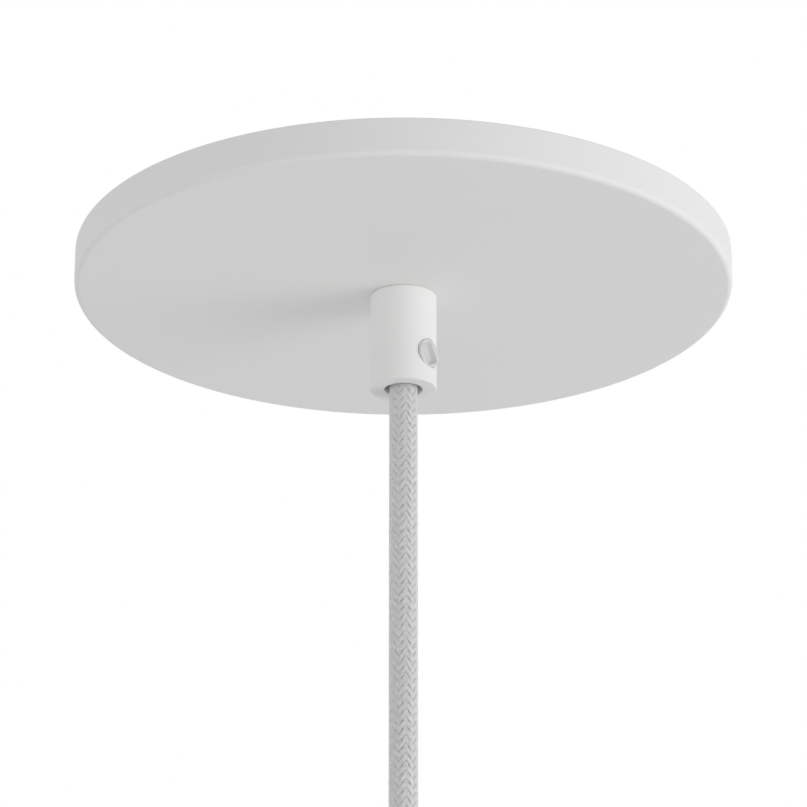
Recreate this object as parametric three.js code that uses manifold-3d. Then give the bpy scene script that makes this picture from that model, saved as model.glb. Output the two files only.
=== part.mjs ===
// A flat round ceiling canopy with a cylindrical cord grip, a clear grub screw and a braided pendant cord.
// Millimetres, +Z up. The origin is the centre of the ceiling plane that the rim and the crossbar bear on.
// The near side in the photograph is -Y.

import * as THREE from 'three';
import { mergeVertices } from 'three/addons/utils/BufferGeometryUtils.js';
import Module from 'manifold-3d';

const wasm = await Module();
wasm.setup();

// Fits and broken edges shared by all pieces
const clearance = 0.3;
const edgeBreak = 0.4;
const roundSides = 96;
const smallSides = 32;

// Canopy pan, pressed from sheet
const canopyDiameter = 150;
const canopyDepth = 8.65;
const canopySheet = 1;
const canopyEdgeRadius = 1.3;

// Crossbar screwed to the ceiling box
const crossbarLength = 108;
const crossbarWidth = 20;
const crossbarThickness = 2;
const crossbarCornerRadius = 4;
const slotWidth = 5;
const slotLength = 20;
const slotCentreOffset = 38;
const earthOffset = 18;

// Hollow threaded nipple that carries the grip, its lock nut, toothed washer and end bushing
const nippleDiameter = 10;
const nippleBore = 8.2;
const nippleAboveBar = 6;
const nippleInGrip = 9;
const gripTapDepth = 9.5;
const nutAcrossFlats = 14;
const nutThickness = 2.6;
const nutChamfer = 0.6;
const lockWasherDiameter = 16;
const lockWasherRootDiameter = 13.4;
const lockWasherThickness = 0.8;
const lockWasherTeeth = 14;
const bushingWall = 0.9;
const bushingSkirt = 3.2;
const bushingCap = 1;
const bushingBore = 7;

// Cord grip, a plain turned cylinder
const gripDiameter = 15.1;
const gripLength = 22.85;
const gripBore = 8.6;
const gripChamfer = 0.3;

// Clear grub screw that pinches the cord
const grubDiameter = 6.8;
const grubSunk = 0.1;
const grubBelowFace = 15.6;
const grubTurn = THREE.MathUtils.degToRad(53.5);
const grubChamfer = 0.5;
const grubTipDiameter = 3.8;
const grubTipLength = 0.8;
const slotRecessWidth = 3.8;
const slotRecessLength = 5;
const slotRecessDepth = 1.1;
const slotRecessCorner = 0.9;
const slotRecessTilt = THREE.MathUtils.degToRad(28);

// Braided cord, hanging taut, with the heights of its centre line from inside the nipple to inside the lamp's
const cordDiameter = 6.4;
const cordSides = 12;
const cordHeights = [-4, -12, -22, -33, -44, -55, -66, -77, -88, -99, -110, -121, -132, -143, -154, -164];
const lampGripDrop = 137;

// Three insulated cores inside the cord
const coreDiameter = 2.2;
const coreSides = 8;

// Earth connection under the crossbar
const earthScrewDiameter = 4;
const earthScrewHead = 7.6;
const earthScrewHeadHeight = 2.4;
const earthScrewThroughBar = 2;
const driveSlotWidth = 1.1;
const driveSlotDepth = 1.2;
const cupWasherDiameter = 8.4;
const cupWasherThickness = 0.8;
const ringTerminalDiameter = 8;
const ringTerminalThickness = 0.8;
const ringBarrelDiameter = 3.6;
const ringBarrelStart = 6.5;
const ringBarrelLength = 7;
const ringNeckWidth = 3;
const ringNeckOverlap = 1;

// Two-pole push-in terminal block lying in the pan behind the crossbar
const terminalWidth = 16;
const terminalLength = 18;
const terminalHeight = 5.8;
const terminalWall = 1;
const terminalFront = 27;
const poleOffset = 4;
const chamberWidth = 4.6;
const wirePortDiameter = 2;
const supplyPortDiameter = 2.8;
const releaseSlotWidth = 2;
const releaseSlotLength = 4;
const releaseSlotInset = 3;
const busbarWidth = 3;
const busbarThickness = 0.6;
const busbarEndGap = 0.6;

// Wire end sleeves
const ferruleCollarDiameter = 3;
const ferruleCollarLength = 5;
const ferruleShoulder = 1;
const ferrulePinDiameter = 1.4;
const ferrulePinLength = 8;

// Core routes over the crossbar
const coreLoopRise = 9;
const coreLoopRadius = 6;
const coreDropRadius = 5.5;
const coreBesideBar = 2.6;
const earthDropY = -21;

// Lamp-side stub of the nipple and the core tails below it
const lampNippleBelow = 8;
const lampWasherThickness = 1;
const lampWasherDiameter = 15;
const tailSpread = 5.5;
const tailLength = 27;

// Levels worked out from the sizes above
const canopyFace = -canopyDepth;
const canopyInside = canopyFace + canopySheet;
const crossbarUnderside = -crossbarThickness;
const nippleHole = nippleDiameter + 2 * clearance;
const grubHole = grubDiameter + 2 * clearance;
const lampGripTop = -lampGripDrop;
const lampGripFace = lampGripTop - gripLength;
const lampNippleTop = lampGripFace + nippleInGrip;
const lampNippleBottom = lampGripFace - lampNippleBelow;
const cordTop = cordHeights[0];
const cordBottom = cordHeights[cordHeights.length - 1];
const coreRing = (coreDiameter + clearance) / Math.sqrt(3);
const wireAxisHeight = canopyInside + terminalHeight / 2;
const earthBarrelHeight = crossbarUnderside - clearance - ringBarrelDiameter / 2;

const finish = {
  whitePaint: { color: 0xe6e6e4, roughness: 0.55, metalness: 0 },
  clearPlastic: { color: 0xdfe2e2, roughness: 0.2, metalness: 0 },
  zincSteel: { color: 0xb4b6b8, roughness: 0.4, metalness: 1 },
  brass: { color: 0xc2a05a, roughness: 0.35, metalness: 1 },
  tinnedCopper: { color: 0xc4c4c0, roughness: 0.35, metalness: 1 },
  greyBraid: { color: 0xcfcfcd, roughness: 0.9, metalness: 0 },
  blackPlastic: { color: 0x2c2c2e, roughness: 0.5, metalness: 0 },
  whitePlastic: { color: 0xe8e6df, roughness: 0.45, metalness: 0 },
  brownInsulation: { color: 0x5a3a26, roughness: 0.5, metalness: 0 },
  blueInsulation: { color: 0x2d63a8, roughness: 0.5, metalness: 0 },
  earthInsulation: { color: 0x8fae3a, roughness: 0.5, metalness: 0 },
};

const canopy = new THREE.Group();

function add(name, geometry, look, parent = canopy) {
  const mesh = new THREE.Mesh(geometry, new THREE.MeshStandardMaterial(finish[look]));
  mesh.name = name;
  parent.add(mesh);
  return mesh;
}

// A closed geometry becomes a solid that can be joined and cut, and comes back as a geometry.
function solidFrom(geometry) {
  const bare = geometry.clone();
  bare.deleteAttribute('normal');
  bare.deleteAttribute('uv');
  const merged = mergeVertices(bare, 1e-4);
  return new wasm.Manifold(new wasm.Mesh({
    numProp: 3,
    vertProperties: new Float32Array(merged.attributes.position.array),
    triVerts: new Uint32Array(merged.index.array),
  }));
}

function geometryFrom(solid) {
  const result = solid.getMesh();
  const geometry = new THREE.BufferGeometry();
  geometry.setAttribute('position', new THREE.BufferAttribute(new Float32Array(result.vertProperties), 3));
  geometry.setIndex(new THREE.BufferAttribute(new Uint32Array(result.triVerts), 1));
  geometry.computeVertexNormals();
  return geometry;
}

// Turned pieces: the outline is a list of [radius, height], going up the outside.
function turned(outline, sides) {
  const points = outline.map(([radius, height]) => new THREE.Vector2(radius, height));
  return new THREE.LatheGeometry(points, sides).rotateX(Math.PI / 2);
}

function rod(radius, bottom, top, sides = smallSides) {
  return turned([[0, bottom], [radius, bottom], [radius, top], [0, top]], sides);
}

function ring(innerRadius, outerRadius, bottom, top, sides = smallSides) {
  return turned([
    [innerRadius, bottom], [outerRadius, bottom], [outerRadius, top], [innerRadius, top], [innerRadius, bottom],
  ], sides);
}

function block(low, high) {
  const size = high.map((value, axis) => value - low[axis]);
  const centre = high.map((value, axis) => (value + low[axis]) / 2);
  return new THREE.BoxGeometry(...size).translate(...centre);
}

function arcPoints(centreRadius, centreHeight, radius, startAngle, endAngle, steps) {
  return Array.from({ length: steps + 1 }, (_, step) => {
    const angle = startAngle + ((endAngle - startAngle) * step) / steps;
    return [centreRadius + radius * Math.cos(angle), centreHeight + radius * Math.sin(angle)];
  });
}

function canopyPan() {
  const outer = canopyDiameter / 2;
  const innerEdge = Math.max(canopyEdgeRadius - canopySheet, 0.1);
  const hole = nippleHole / 2;
  return turned([
    [hole, canopyFace],
    ...arcPoints(outer - canopyEdgeRadius, canopyFace + canopyEdgeRadius, canopyEdgeRadius, -Math.PI / 2, 0, 6),
    [outer, 0],
    [outer - canopySheet, 0],
    ...arcPoints(outer - canopySheet - innerEdge, canopyInside + innerEdge, innerEdge, 0, -Math.PI / 2, 2),
    [hole, canopyInside],
    [hole, canopyFace],
  ], roundSides);
}

function plate(outline, bottom, top) {
  const options = { depth: top - bottom, bevelEnabled: false, curveSegments: 10 };
  return new THREE.ExtrudeGeometry(outline, options).translate(0, 0, bottom);
}

function polygon(corners) {
  const outline = new THREE.Shape(corners.map(([x, y]) => new THREE.Vector2(x, y)));
  outline.closePath();
  return outline;
}

// The corners of a regular polygon, or of a toothed one where the radius changes with the corner.
function cornersAround(count, radiusAt) {
  return Array.from({ length: count }, (_, corner) => {
    const angle = (2 * Math.PI * corner) / count;
    return [radiusAt(corner) * Math.cos(angle), radiusAt(corner) * Math.sin(angle)];
  });
}

function roundedOutline(halfLength, halfWidth, radius) {
  const outline = new THREE.Shape();
  outline.moveTo(-halfLength + radius, -halfWidth);
  outline.lineTo(halfLength - radius, -halfWidth);
  outline.absarc(halfLength - radius, -halfWidth + radius, radius, -Math.PI / 2, 0);
  outline.lineTo(halfLength, halfWidth - radius);
  outline.absarc(halfLength - radius, halfWidth - radius, radius, 0, Math.PI / 2);
  outline.lineTo(-halfLength + radius, halfWidth);
  outline.absarc(-halfLength + radius, halfWidth - radius, radius, Math.PI / 2, Math.PI);
  outline.lineTo(-halfLength, -halfWidth + radius);
  outline.absarc(-halfLength + radius, -halfWidth + radius, radius, Math.PI, 1.5 * Math.PI);
  return outline;
}

function roundHole(x, y, radius) {
  return new THREE.Path().absarc(x, y, radius, 0, 2 * Math.PI, true);
}

function slotHole(x, length, width) {
  const radius = width / 2;
  const straight = length / 2 - radius;
  const hole = new THREE.Path();
  hole.moveTo(x - straight, radius);
  hole.absarc(x - straight, 0, radius, Math.PI / 2, 1.5 * Math.PI);
  hole.absarc(x + straight, 0, radius, -Math.PI / 2, Math.PI / 2);
  return hole;
}

function crossbarStrap() {
  const outline = roundedOutline(crossbarLength / 2, crossbarWidth / 2, crossbarCornerRadius);
  outline.holes.push(roundHole(0, 0, nippleHole / 2));
  for (const side of [-1, 1]) {
    outline.holes.push(roundHole(side * earthOffset, 0, earthScrewDiameter / 2 + clearance));
    outline.holes.push(slotHole(side * slotCentreOffset, slotLength, slotWidth));
  }
  return plate(outline, crossbarUnderside, 0);
}

function hollowNipple(bottom, top) {
  const outer = nippleDiameter / 2;
  return turned([
    [nippleBore / 2, bottom], [outer - edgeBreak, bottom], [outer, bottom + edgeBreak],
    [outer, top - edgeBreak], [outer - edgeBreak, top], [nippleBore / 2, top], [nippleBore / 2, bottom],
  ], smallSides);
}

function hexNut(bottom, top) {
  const flat = nutAcrossFlats / 2;
  const corner = flat / Math.cos(Math.PI / 6);
  const prism = plate(polygon(cornersAround(6, () => corner)), bottom, top);
  const rounding = turned([
    [nippleHole / 2, bottom], [flat, bottom], [flat + 2 * nutChamfer, bottom + nutChamfer],
    [flat + 2 * nutChamfer, top - nutChamfer], [flat, top], [nippleHole / 2, top], [nippleHole / 2, bottom],
  ], smallSides);
  return geometryFrom(solidFrom(prism).intersect(solidFrom(rounding)));
}

function toothedWasher(bottom) {
  const radiusAt = (corner) => (corner % 4 < 2 ? lockWasherDiameter : lockWasherRootDiameter) / 2;
  const outline = polygon(cornersAround(4 * lockWasherTeeth, radiusAt));
  outline.holes.push(roundHole(0, 0, nippleHole / 2));
  return plate(outline, bottom, bottom + lockWasherThickness);
}

function endBushing(end) {
  const inner = nippleHole / 2;
  const outer = inner + bushingWall;
  const bore = bushingBore / 2;
  const top = end + bushingCap;
  return turned([
    [inner, end - bushingSkirt], [outer, end - bushingSkirt],
    [outer, top - edgeBreak], [outer - edgeBreak, top], [bore + edgeBreak, top], [bore, top - edgeBreak],
    [bore, end], [inner, end], [inner, end - bushingSkirt],
  ], smallSides);
}

// The grip is drawn with its threaded face at height 0 and its cord end at -gripLength.
function gripCylinder() {
  const outer = gripDiameter / 2;
  const bore = gripBore / 2;
  const tapped = nippleHole / 2;
  const bottom = -gripLength;
  const turnedBody = turned([
    [bore + gripChamfer, bottom], [outer - gripChamfer, bottom], [outer, bottom + gripChamfer],
    [outer, 0], [tapped, 0], [tapped, -gripTapDepth], [bore, -gripTapDepth],
    [bore, bottom + gripChamfer], [bore + gripChamfer, bottom],
  ], roundSides);
  const drill = rod(grubHole / 2, 0, gripDiameter).rotateX(Math.PI / 2);
  drill.rotateZ(grubTurn).translate(0, 0, -grubBelowFace);
  return geometryFrom(solidFrom(turnedBody).subtract(solidFrom(drill)));
}

// The grub screw is drawn along +Z with its tip at the bottom, then laid radially.
function grubScrew() {
  const radius = grubDiameter / 2;
  const tipRadius = grubTipDiameter / 2;
  const tip = cordDiameter / 2 + clearance;
  const front = gripDiameter / 2 - grubSunk;
  const blank = turned([
    [0, tip], [tipRadius, tip], [tipRadius, tip + grubTipLength], [radius, tip + grubTipLength + edgeBreak],
    [radius, front - grubChamfer], [radius - grubChamfer, front], [0, front],
  ], smallSides);
  const outline = roundedOutline(slotRecessWidth / 2, slotRecessLength / 2, slotRecessCorner);
  const recess = plate(outline, front - slotRecessDepth, front + 1).rotateZ(slotRecessTilt);
  const screw = geometryFrom(solidFrom(blank).subtract(solidFrom(recess)));
  return screw.rotateX(Math.PI / 2).rotateZ(grubTurn).translate(0, 0, -grubBelowFace);
}

function tube(points, diameter, sides, steps) {
  const path = new THREE.CatmullRomCurve3(points, false, 'centripetal');
  const outline = polygon(cornersAround(sides, () => diameter / 2));
  return new THREE.ExtrudeGeometry(outline, { steps, bevelEnabled: false, extrudePath: path });
}

function corePlace(index) {
  const angle = Math.PI / 6 + (index * 2 * Math.PI) / 3;
  return [coreRing * Math.cos(angle), coreRing * Math.sin(angle)];
}

// A quarter turn between two directions, as a few points on the arc.
function quarterTurn(centre, radius, from, to) {
  return [0, 1, 2, 3, 4].map((step) => {
    const angle = (step * Math.PI) / 8;
    const along = from.clone().multiplyScalar(Math.cos(angle)).addScaledVector(to, Math.sin(angle));
    return centre.clone().addScaledVector(along, radius);
  });
}

// Up out of the nipple, over towards the drop, down past the crossbar and level into the fitting.
function coreRoute(start, drop, levelHeight, levelDirection, end) {
  const up = new THREE.Vector3(0, 0, 1);
  const across = new THREE.Vector3(drop.x - start.x, drop.y - start.y, 0).normalize();
  const back = across.clone().negate();
  const riseTop = new THREE.Vector3(start.x, start.y, coreLoopRise);
  const dropTop = new THREE.Vector3(drop.x, drop.y, coreLoopRise);
  const dropEnd = new THREE.Vector3(drop.x, drop.y, levelHeight + coreDropRadius);
  const down = up.clone().negate();
  const turnCentre = dropEnd.clone().addScaledVector(levelDirection, coreDropRadius);
  return [
    start.clone().setZ(cordTop + clearance),
    start.clone().setZ((cordTop + coreLoopRise) / 2),
    ...quarterTurn(riseTop.clone().addScaledVector(across, coreLoopRadius), coreLoopRadius, back, up),
    ...quarterTurn(dropTop.clone().addScaledVector(back, coreLoopRadius), coreLoopRadius, up, across),
    ...quarterTurn(turnCentre, coreDropRadius, levelDirection.clone().negate(), down),
    end,
  ];
}

function phaseRoute(index, side) {
  const [x, y] = corePlace(index);
  const start = new THREE.Vector3(x, y, 0);
  const drop = new THREE.Vector3(side * poleOffset, crossbarWidth / 2 + coreBesideBar, 0);
  const collarStart = terminalFront - clearance - ferruleCollarLength;
  const end = new THREE.Vector3(side * poleOffset, collarStart - clearance, wireAxisHeight);
  return coreRoute(start, drop, wireAxisHeight, new THREE.Vector3(0, 1, 0), end);
}

function earthRoute() {
  const [x, y] = corePlace(2);
  const start = new THREE.Vector3(x, y, 0);
  const drop = new THREE.Vector3(earthOffset, earthDropY, 0);
  const barrelEnd = -ringBarrelStart - ringBarrelLength;
  const end = new THREE.Vector3(earthOffset, barrelEnd - clearance, earthBarrelHeight);
  return coreRoute(start, drop, earthBarrelHeight, new THREE.Vector3(0, 1, 0), end);
}

function tailRoute(index) {
  const [x, y] = corePlace(index);
  const outward = new THREE.Vector3(x, y, 0).normalize();
  return [0, 0.25, 0.45, 0.65, 0.85, 1].map((share) => {
    const spread = tailSpread * THREE.MathUtils.smoothstep(share, 0.3, 1);
    const height = cordBottom - clearance - tailLength * share;
    return new THREE.Vector3(x, y, height).addScaledVector(outward, spread);
  });
}

// A sleeve with its collar at the origin and its pin along +Z.
function ferrule() {
  const collar = ferruleCollarDiameter / 2;
  const pin = ferrulePinDiameter / 2;
  return turned([
    [0, 0], [collar, 0], [collar, ferruleCollarLength - ferruleShoulder], [pin, ferruleCollarLength],
    [pin, ferruleCollarLength + ferrulePinLength], [0, ferruleCollarLength + ferrulePinLength],
  ], 16);
}

function ringTerminal() {
  const top = crossbarUnderside;
  const bottom = top - ringTerminalThickness;
  const eye = rod(ringTerminalDiameter / 2, bottom, top);
  const neckEnd = -ringBarrelStart - ringNeckOverlap;
  const neck = block([-ringNeckWidth / 2, neckEnd, bottom], [ringNeckWidth / 2, 0, top]);
  const barrel = rod(ringBarrelDiameter / 2, 0, ringBarrelLength, 16).rotateX(Math.PI / 2);
  barrel.translate(0, -ringBarrelStart, earthBarrelHeight);
  const hole = rod(earthScrewDiameter / 2 + clearance, bottom - 1, top + 1);
  const joined = solidFrom(eye).add(solidFrom(neck)).add(solidFrom(barrel)).subtract(solidFrom(hole));
  return geometryFrom(joined).translate(earthOffset, 0, 0);
}

function cupWasher(top) {
  const hole = earthScrewDiameter / 2 + clearance;
  return ring(hole, cupWasherDiameter / 2, top - cupWasherThickness, top).translate(earthOffset, 0, 0);
}

function earthScrew(headTop) {
  const head = earthScrewHead / 2;
  const shank = earthScrewDiameter / 2;
  const bottom = headTop - earthScrewHeadHeight;
  const blank = turned([
    [0, bottom], [head - 2 * edgeBreak, bottom], [head, bottom + 2 * edgeBreak], [head, headTop],
    [shank, headTop], [shank, earthScrewThroughBar - edgeBreak],
    [shank - edgeBreak, earthScrewThroughBar], [0, earthScrewThroughBar],
  ], smallSides);
  const slotSide = driveSlotWidth / 2;
  const slot = block([-head - 1, -slotSide, bottom - 1], [head + 1, slotSide, bottom + driveSlotDepth]);
  return geometryFrom(solidFrom(blank).subtract(solidFrom(slot))).translate(earthOffset, 0, 0);
}

function terminalHousing() {
  const floor = canopyInside;
  const top = floor + terminalHeight;
  const back = terminalFront + terminalLength;
  let housing = solidFrom(block([-terminalWidth / 2, terminalFront, floor], [terminalWidth / 2, back, top]));
  for (const side of [-1, 1]) {
    const x = side * poleOffset;
    const chamber = block(
      [x - chamberWidth / 2, terminalFront + terminalWall, floor + terminalWall],
      [x + chamberWidth / 2, back - terminalWall, top - terminalWall],
    );
    const lampPort = rod(wirePortDiameter / 2, -terminalWall - 1, 1, 16).rotateX(Math.PI / 2);
    const supplyPort = rod(supplyPortDiameter / 2, -1, terminalWall + 1, 16).rotateX(Math.PI / 2);
    const release = block(
      [x - releaseSlotWidth / 2, back - releaseSlotInset - releaseSlotLength, top - terminalWall - 1],
      [x + releaseSlotWidth / 2, back - releaseSlotInset, top + 1],
    );
    lampPort.translate(x, terminalFront, wireAxisHeight);
    supplyPort.translate(x, back, wireAxisHeight);
    for (const cutter of [chamber, lampPort, supplyPort, release]) {
      housing = housing.subtract(solidFrom(cutter));
    }
  }
  return geometryFrom(housing);
}

function busbar(side) {
  const x = side * poleOffset;
  const floor = canopyInside + terminalWall;
  const endInset = terminalWall + busbarEndGap;
  return block(
    [x - busbarWidth / 2, terminalFront + endInset, floor],
    [x + busbarWidth / 2, terminalFront + terminalLength - endInset, floor + busbarThickness],
  );
}

// Canopy and the parts that hold it to the ceiling
add('canopy_pan', canopyPan(), 'whitePaint');
add('crossbar', crossbarStrap(), 'zincSteel');
add('nipple', hollowNipple(canopyFace - nippleInGrip, nippleAboveBar), 'zincSteel');
const washerBottom = crossbarUnderside - lockWasherThickness;
add('nipple_lock_washer', toothedWasher(washerBottom), 'zincSteel');
add('nipple_lock_nut', hexNut(washerBottom - nutThickness, washerBottom), 'zincSteel');
add('nipple_bushing', endBushing(nippleAboveBar), 'blackPlastic');

// Cord grip under the canopy
add('cord_grip_body', gripCylinder().translate(0, 0, canopyFace), 'whitePaint');
add('cord_grip_screw', grubScrew().translate(0, 0, canopyFace), 'clearPlastic');

// Earth connection
const ringBottom = crossbarUnderside - ringTerminalThickness;
add('earth_ring_terminal', ringTerminal(), 'tinnedCopper');
add('earth_cup_washer', cupWasher(ringBottom), 'brass');
add('earth_screw', earthScrew(ringBottom - cupWasherThickness), 'brass');

// Terminal block with its two busbars
add('terminal_housing', terminalHousing(), 'whitePlastic');
const poles = { neutral: 1, live: -1 };
for (const [name, side] of Object.entries(poles)) {
  add(`terminal_busbar_${name}`, busbar(side), 'tinnedCopper');
}

// Cord and its three cores
const cordPoints = cordHeights.map((height) => new THREE.Vector3(0, 0, height));
add('cord', tube(cordPoints, cordDiameter, cordSides, cordPoints.length - 1), 'greyBraid');

const coreLooks = { neutral: 'blueInsulation', live: 'brownInsulation', earth: 'earthInsulation' };
const upperRoutes = {
  neutral: phaseRoute(0, poles.neutral),
  live: phaseRoute(1, poles.live),
  earth: earthRoute(),
};
Object.entries(coreLooks).forEach(([name, look], index) => {
  add(`core_${name}`, tube(upperRoutes[name], coreDiameter, coreSides, 30), look);
  add(`tail_${name}`, tube(tailRoute(index), coreDiameter, coreSides, 8), look);
});

// Sleeves on the core ends
for (const [name, side] of Object.entries(poles)) {
  const sleeve = ferrule().rotateX(-Math.PI / 2);
  sleeve.translate(side * poleOffset, terminalFront - clearance - ferruleCollarLength, wireAxisHeight);
  add(`core_sleeve_${name}`, sleeve, coreLooks[name]);
}
Object.entries(coreLooks).forEach(([name, look], index) => {
  const route = tailRoute(index);
  const end = route[route.length - 1];
  const heading = end.clone().sub(route[route.length - 2]).normalize();
  const sleeve = add(`tail_sleeve_${name}`, ferrule(), look);
  sleeve.quaternion.setFromUnitVectors(new THREE.Vector3(0, 0, 1), heading);
  sleeve.position.copy(end).addScaledVector(heading, clearance);
});

// Lamp-side grip, turned over so that its thread faces down
const lampGrip = new THREE.Group();
lampGrip.rotation.y = Math.PI;
lampGrip.position.z = lampGripFace;
canopy.add(lampGrip);
add('lamp_grip_body', gripCylinder(), 'whitePaint', lampGrip);
add('lamp_grip_screw', grubScrew(), 'clearPlastic', lampGrip);
add('lamp_nipple', hollowNipple(lampNippleBottom, lampNippleTop), 'zincSteel');
const lampWasherBottom = lampGripFace - lampWasherThickness;
add('lamp_washer', ring(nippleHole / 2, lampWasherDiameter / 2, lampWasherBottom, lampGripFace), 'zincSteel');
add('lamp_nut', hexNut(lampWasherBottom - nutThickness, lampWasherBottom), 'zincSteel');

export default canopy;
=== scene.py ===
# Ceiling canopy with its cord grips, clear grub screws, wiring and braided pendant cord.
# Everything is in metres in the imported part's frame, +Z up, with the ceiling plane at height 0.
# The near side of the photograph is -Y. Outlines are written in millimetres and scaled once.

import contextlib
import math

import bmesh
import bpy
import numpy as np
from mathutils import Matrix, Vector


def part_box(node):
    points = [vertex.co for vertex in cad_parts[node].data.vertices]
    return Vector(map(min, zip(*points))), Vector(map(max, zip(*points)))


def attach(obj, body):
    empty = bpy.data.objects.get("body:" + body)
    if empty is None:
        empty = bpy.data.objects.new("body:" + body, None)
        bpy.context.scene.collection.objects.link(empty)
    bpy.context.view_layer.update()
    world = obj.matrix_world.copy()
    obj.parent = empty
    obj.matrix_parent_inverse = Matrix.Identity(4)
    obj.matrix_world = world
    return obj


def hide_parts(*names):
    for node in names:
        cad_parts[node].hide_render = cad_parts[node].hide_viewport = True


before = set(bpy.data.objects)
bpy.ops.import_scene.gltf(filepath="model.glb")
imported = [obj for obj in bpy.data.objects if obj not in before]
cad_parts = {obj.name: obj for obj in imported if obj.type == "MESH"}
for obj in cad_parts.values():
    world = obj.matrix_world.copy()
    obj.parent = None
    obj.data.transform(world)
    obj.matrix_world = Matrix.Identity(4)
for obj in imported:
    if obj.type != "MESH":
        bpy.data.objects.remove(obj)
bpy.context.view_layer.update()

bl_info = {
    "name": "Ceiling canopy with cord grip",
    "version": (1, 0, 0),
    "blender": (4, 5, 0),
    "location": "3D View > Sidebar > Ceiling canopy",
    "description": "Builds a ceiling canopy, its cord grips, wiring and braided cord over the packed part",
    "category": "Add Mesh",
}

MM = 0.001
TURN = 2 * math.pi
QUARTER = math.pi / 2
UP = Vector((0, 0, 1))


def node_size(node, axis):
    low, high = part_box(node)
    return (high - low)[axis]


def length_property(name, description, default):
    return bpy.props.FloatProperty(name=name, description=description, default=default, unit="LENGTH")


def angle_property(name, description, degrees):
    return bpy.props.FloatProperty(
        name=name, description=description, default=math.radians(degrees), subtype="ANGLE")


def colour_property(name, description, default):
    return bpy.props.FloatVectorProperty(
        name=name, description=description, default=default, subtype="COLOR", size=3, min=0, max=1)


class CanopySizes(bpy.types.PropertyGroup):
    pan_diameter: length_property(
        "Canopy diameter", "Across the pan's outer wall", node_size("canopy_pan", 0))
    pan_depth: length_property(
        "Canopy depth", "From the ceiling to the pan's face", node_size("canopy_pan", 2))
    pan_sheet: length_property("Sheet thickness", "Steel sheet that the pan is pressed from", 0.001)
    pan_edge: length_property("Edge radius", "Radius between the pan's wall and its face", 0.0013)
    grip_diameter: length_property(
        "Grip diameter", "Across the turned cord grip", node_size("lamp_grip_body", 0))
    grip_length: length_property(
        "Grip length", "From the grip's threaded face to its cord end", node_size("cord_grip_body", 2))
    grip_bore: length_property("Grip bore", "Hole that the cord passes through", 0.0086)
    screw_diameter: length_property(
        "Grub screw diameter", "Across the clear screw without its thread", 0.0068)
    screw_drop: length_property(
        "Grub screw drop", "From the grip's threaded face down to the screw's axis", 0.0156)
    screw_turn: angle_property("Grub screw turn", "Turn of the screw from the near side towards +X", 53.5)


class CordSizes(bpy.types.PropertyGroup):
    diameter: length_property("Cord diameter", "Over the braid", 0.0064)
    lay: length_property("Braid lay", "Height in which one carrier goes once round the cord", 0.02376)
    carriers: bpy.props.IntProperty(
        name="Carriers", description="Yarn tapes in the braid, half of them each way", default=24, min=8)
    tape_width: length_property("Tape width", "Across the yarn ends of one carrier", 0.00124)
    tape_thickness: length_property("Tape thickness", "Of one carrier's yarn ends", 0.0003)
    wave: length_property("Weave wave", "How far a tape rises and sinks as it passes over and under", 0.0001)
    turn: angle_property("Braid turn", "Turn of the braid's columns round the cord", 25.5)
    core_diameter: length_property("Core diameter", "Over one core's insulation", 0.0022)


class CanopyFinishes(bpy.types.PropertyGroup):
    paint: colour_property("Paint", "Fine matt powder coat on the pan and grips", (0.79, 0.79, 0.785))
    braid: colour_property("Braid", "Pale grey polyester yarn", (0.73, 0.73, 0.725))
    clear: colour_property("Clear plastic", "Moulded nylon of the grub screws", (0.95, 0.96, 0.96))
    zinc: colour_property("Zinc plate", "Crossbar, nipples, nuts and washers", (0.62, 0.63, 0.64))
    brass: colour_property("Brass", "Earth screw and its washer", (0.72, 0.55, 0.27))
    tin: colour_property("Tinned copper", "Ring terminal, pins and busbars", (0.68, 0.67, 0.64))
    black: colour_property("Black plastic", "Bushing on the nipple's end", (0.03, 0.03, 0.032))
    white: colour_property("White plastic", "Terminal block", (0.76, 0.75, 0.71))
    live: colour_property("Live core", "Brown insulation", (0.12, 0.05, 0.025))
    neutral: colour_property("Neutral core", "Blue insulation", (0.03, 0.14, 0.4))
    earth: colour_property("Earth core", "Green of the earth insulation", (0.07, 0.3, 0.05))
    earth_stripe: colour_property("Earth stripe", "Yellow stripe on the earth core", (0.75, 0.6, 0.05))


def sizes():
    return bpy.context.scene.canopy_sizes


def cord_sizes():
    return bpy.context.scene.canopy_cord


def finishes():
    return bpy.context.scene.canopy_finishes


# Sizes and heights of the hidden hardware, in millimetres
BAR_UNDERSIDE = -2
NIPPLE_RADIUS = 5
NIPPLE_BORE = 4.1
NIPPLE_TOP = 6
NIPPLE_IN_GRIP = 9
TAP_DEPTH = 9.5
CLEARANCE = 0.3
NIPPLE_HOLE = NIPPLE_RADIUS + CLEARANCE
NUT_FLAT = 7
NUT_HEIGHT = 2.6
WASHER_HEIGHT = 0.8
EARTH_X = 18
EARTH_HOLE = 2.3
LAMP_WASHER_HEIGHT = 1
LAMP_STUB = 8
BROKEN_EDGE = 0.15

# The cord's centre line from inside the upper nipple to inside the lamp's, repeated from the part's source
CORD_HEIGHTS = [-4, -12, -22, -33, -44, -55, -66, -77, -88, -99, -110, -121, -132, -143, -154, -164]
CORD_LINE = [(0, 0, height * MM) for height in CORD_HEIGHTS]
LAMP_GRIP_TOP = -137


def cord_length():
    return CORD_LINE[0][2] - CORD_LINE[-1][2]


def grip_face():
    """Height of the upper grip's threaded face, in millimetres."""
    return -sizes().pan_depth / MM


def lamp_grip_face():
    return LAMP_GRIP_TOP - sizes().grip_length / MM


# Shapes are pairs of points in millimetres and faces, and become meshes in metres

SHARP_DEGREES = 35
CORNER_DEGREES = 40


def ring_at(radius, height, angles):
    return [(radius * math.cos(a), radius * math.sin(a), height) for a in angles]


def numbered_rings(points, count):
    """The points' numbers, in rings of this count."""
    return [list(range(start, start + count)) for start in range(0, len(points), count)]


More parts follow.
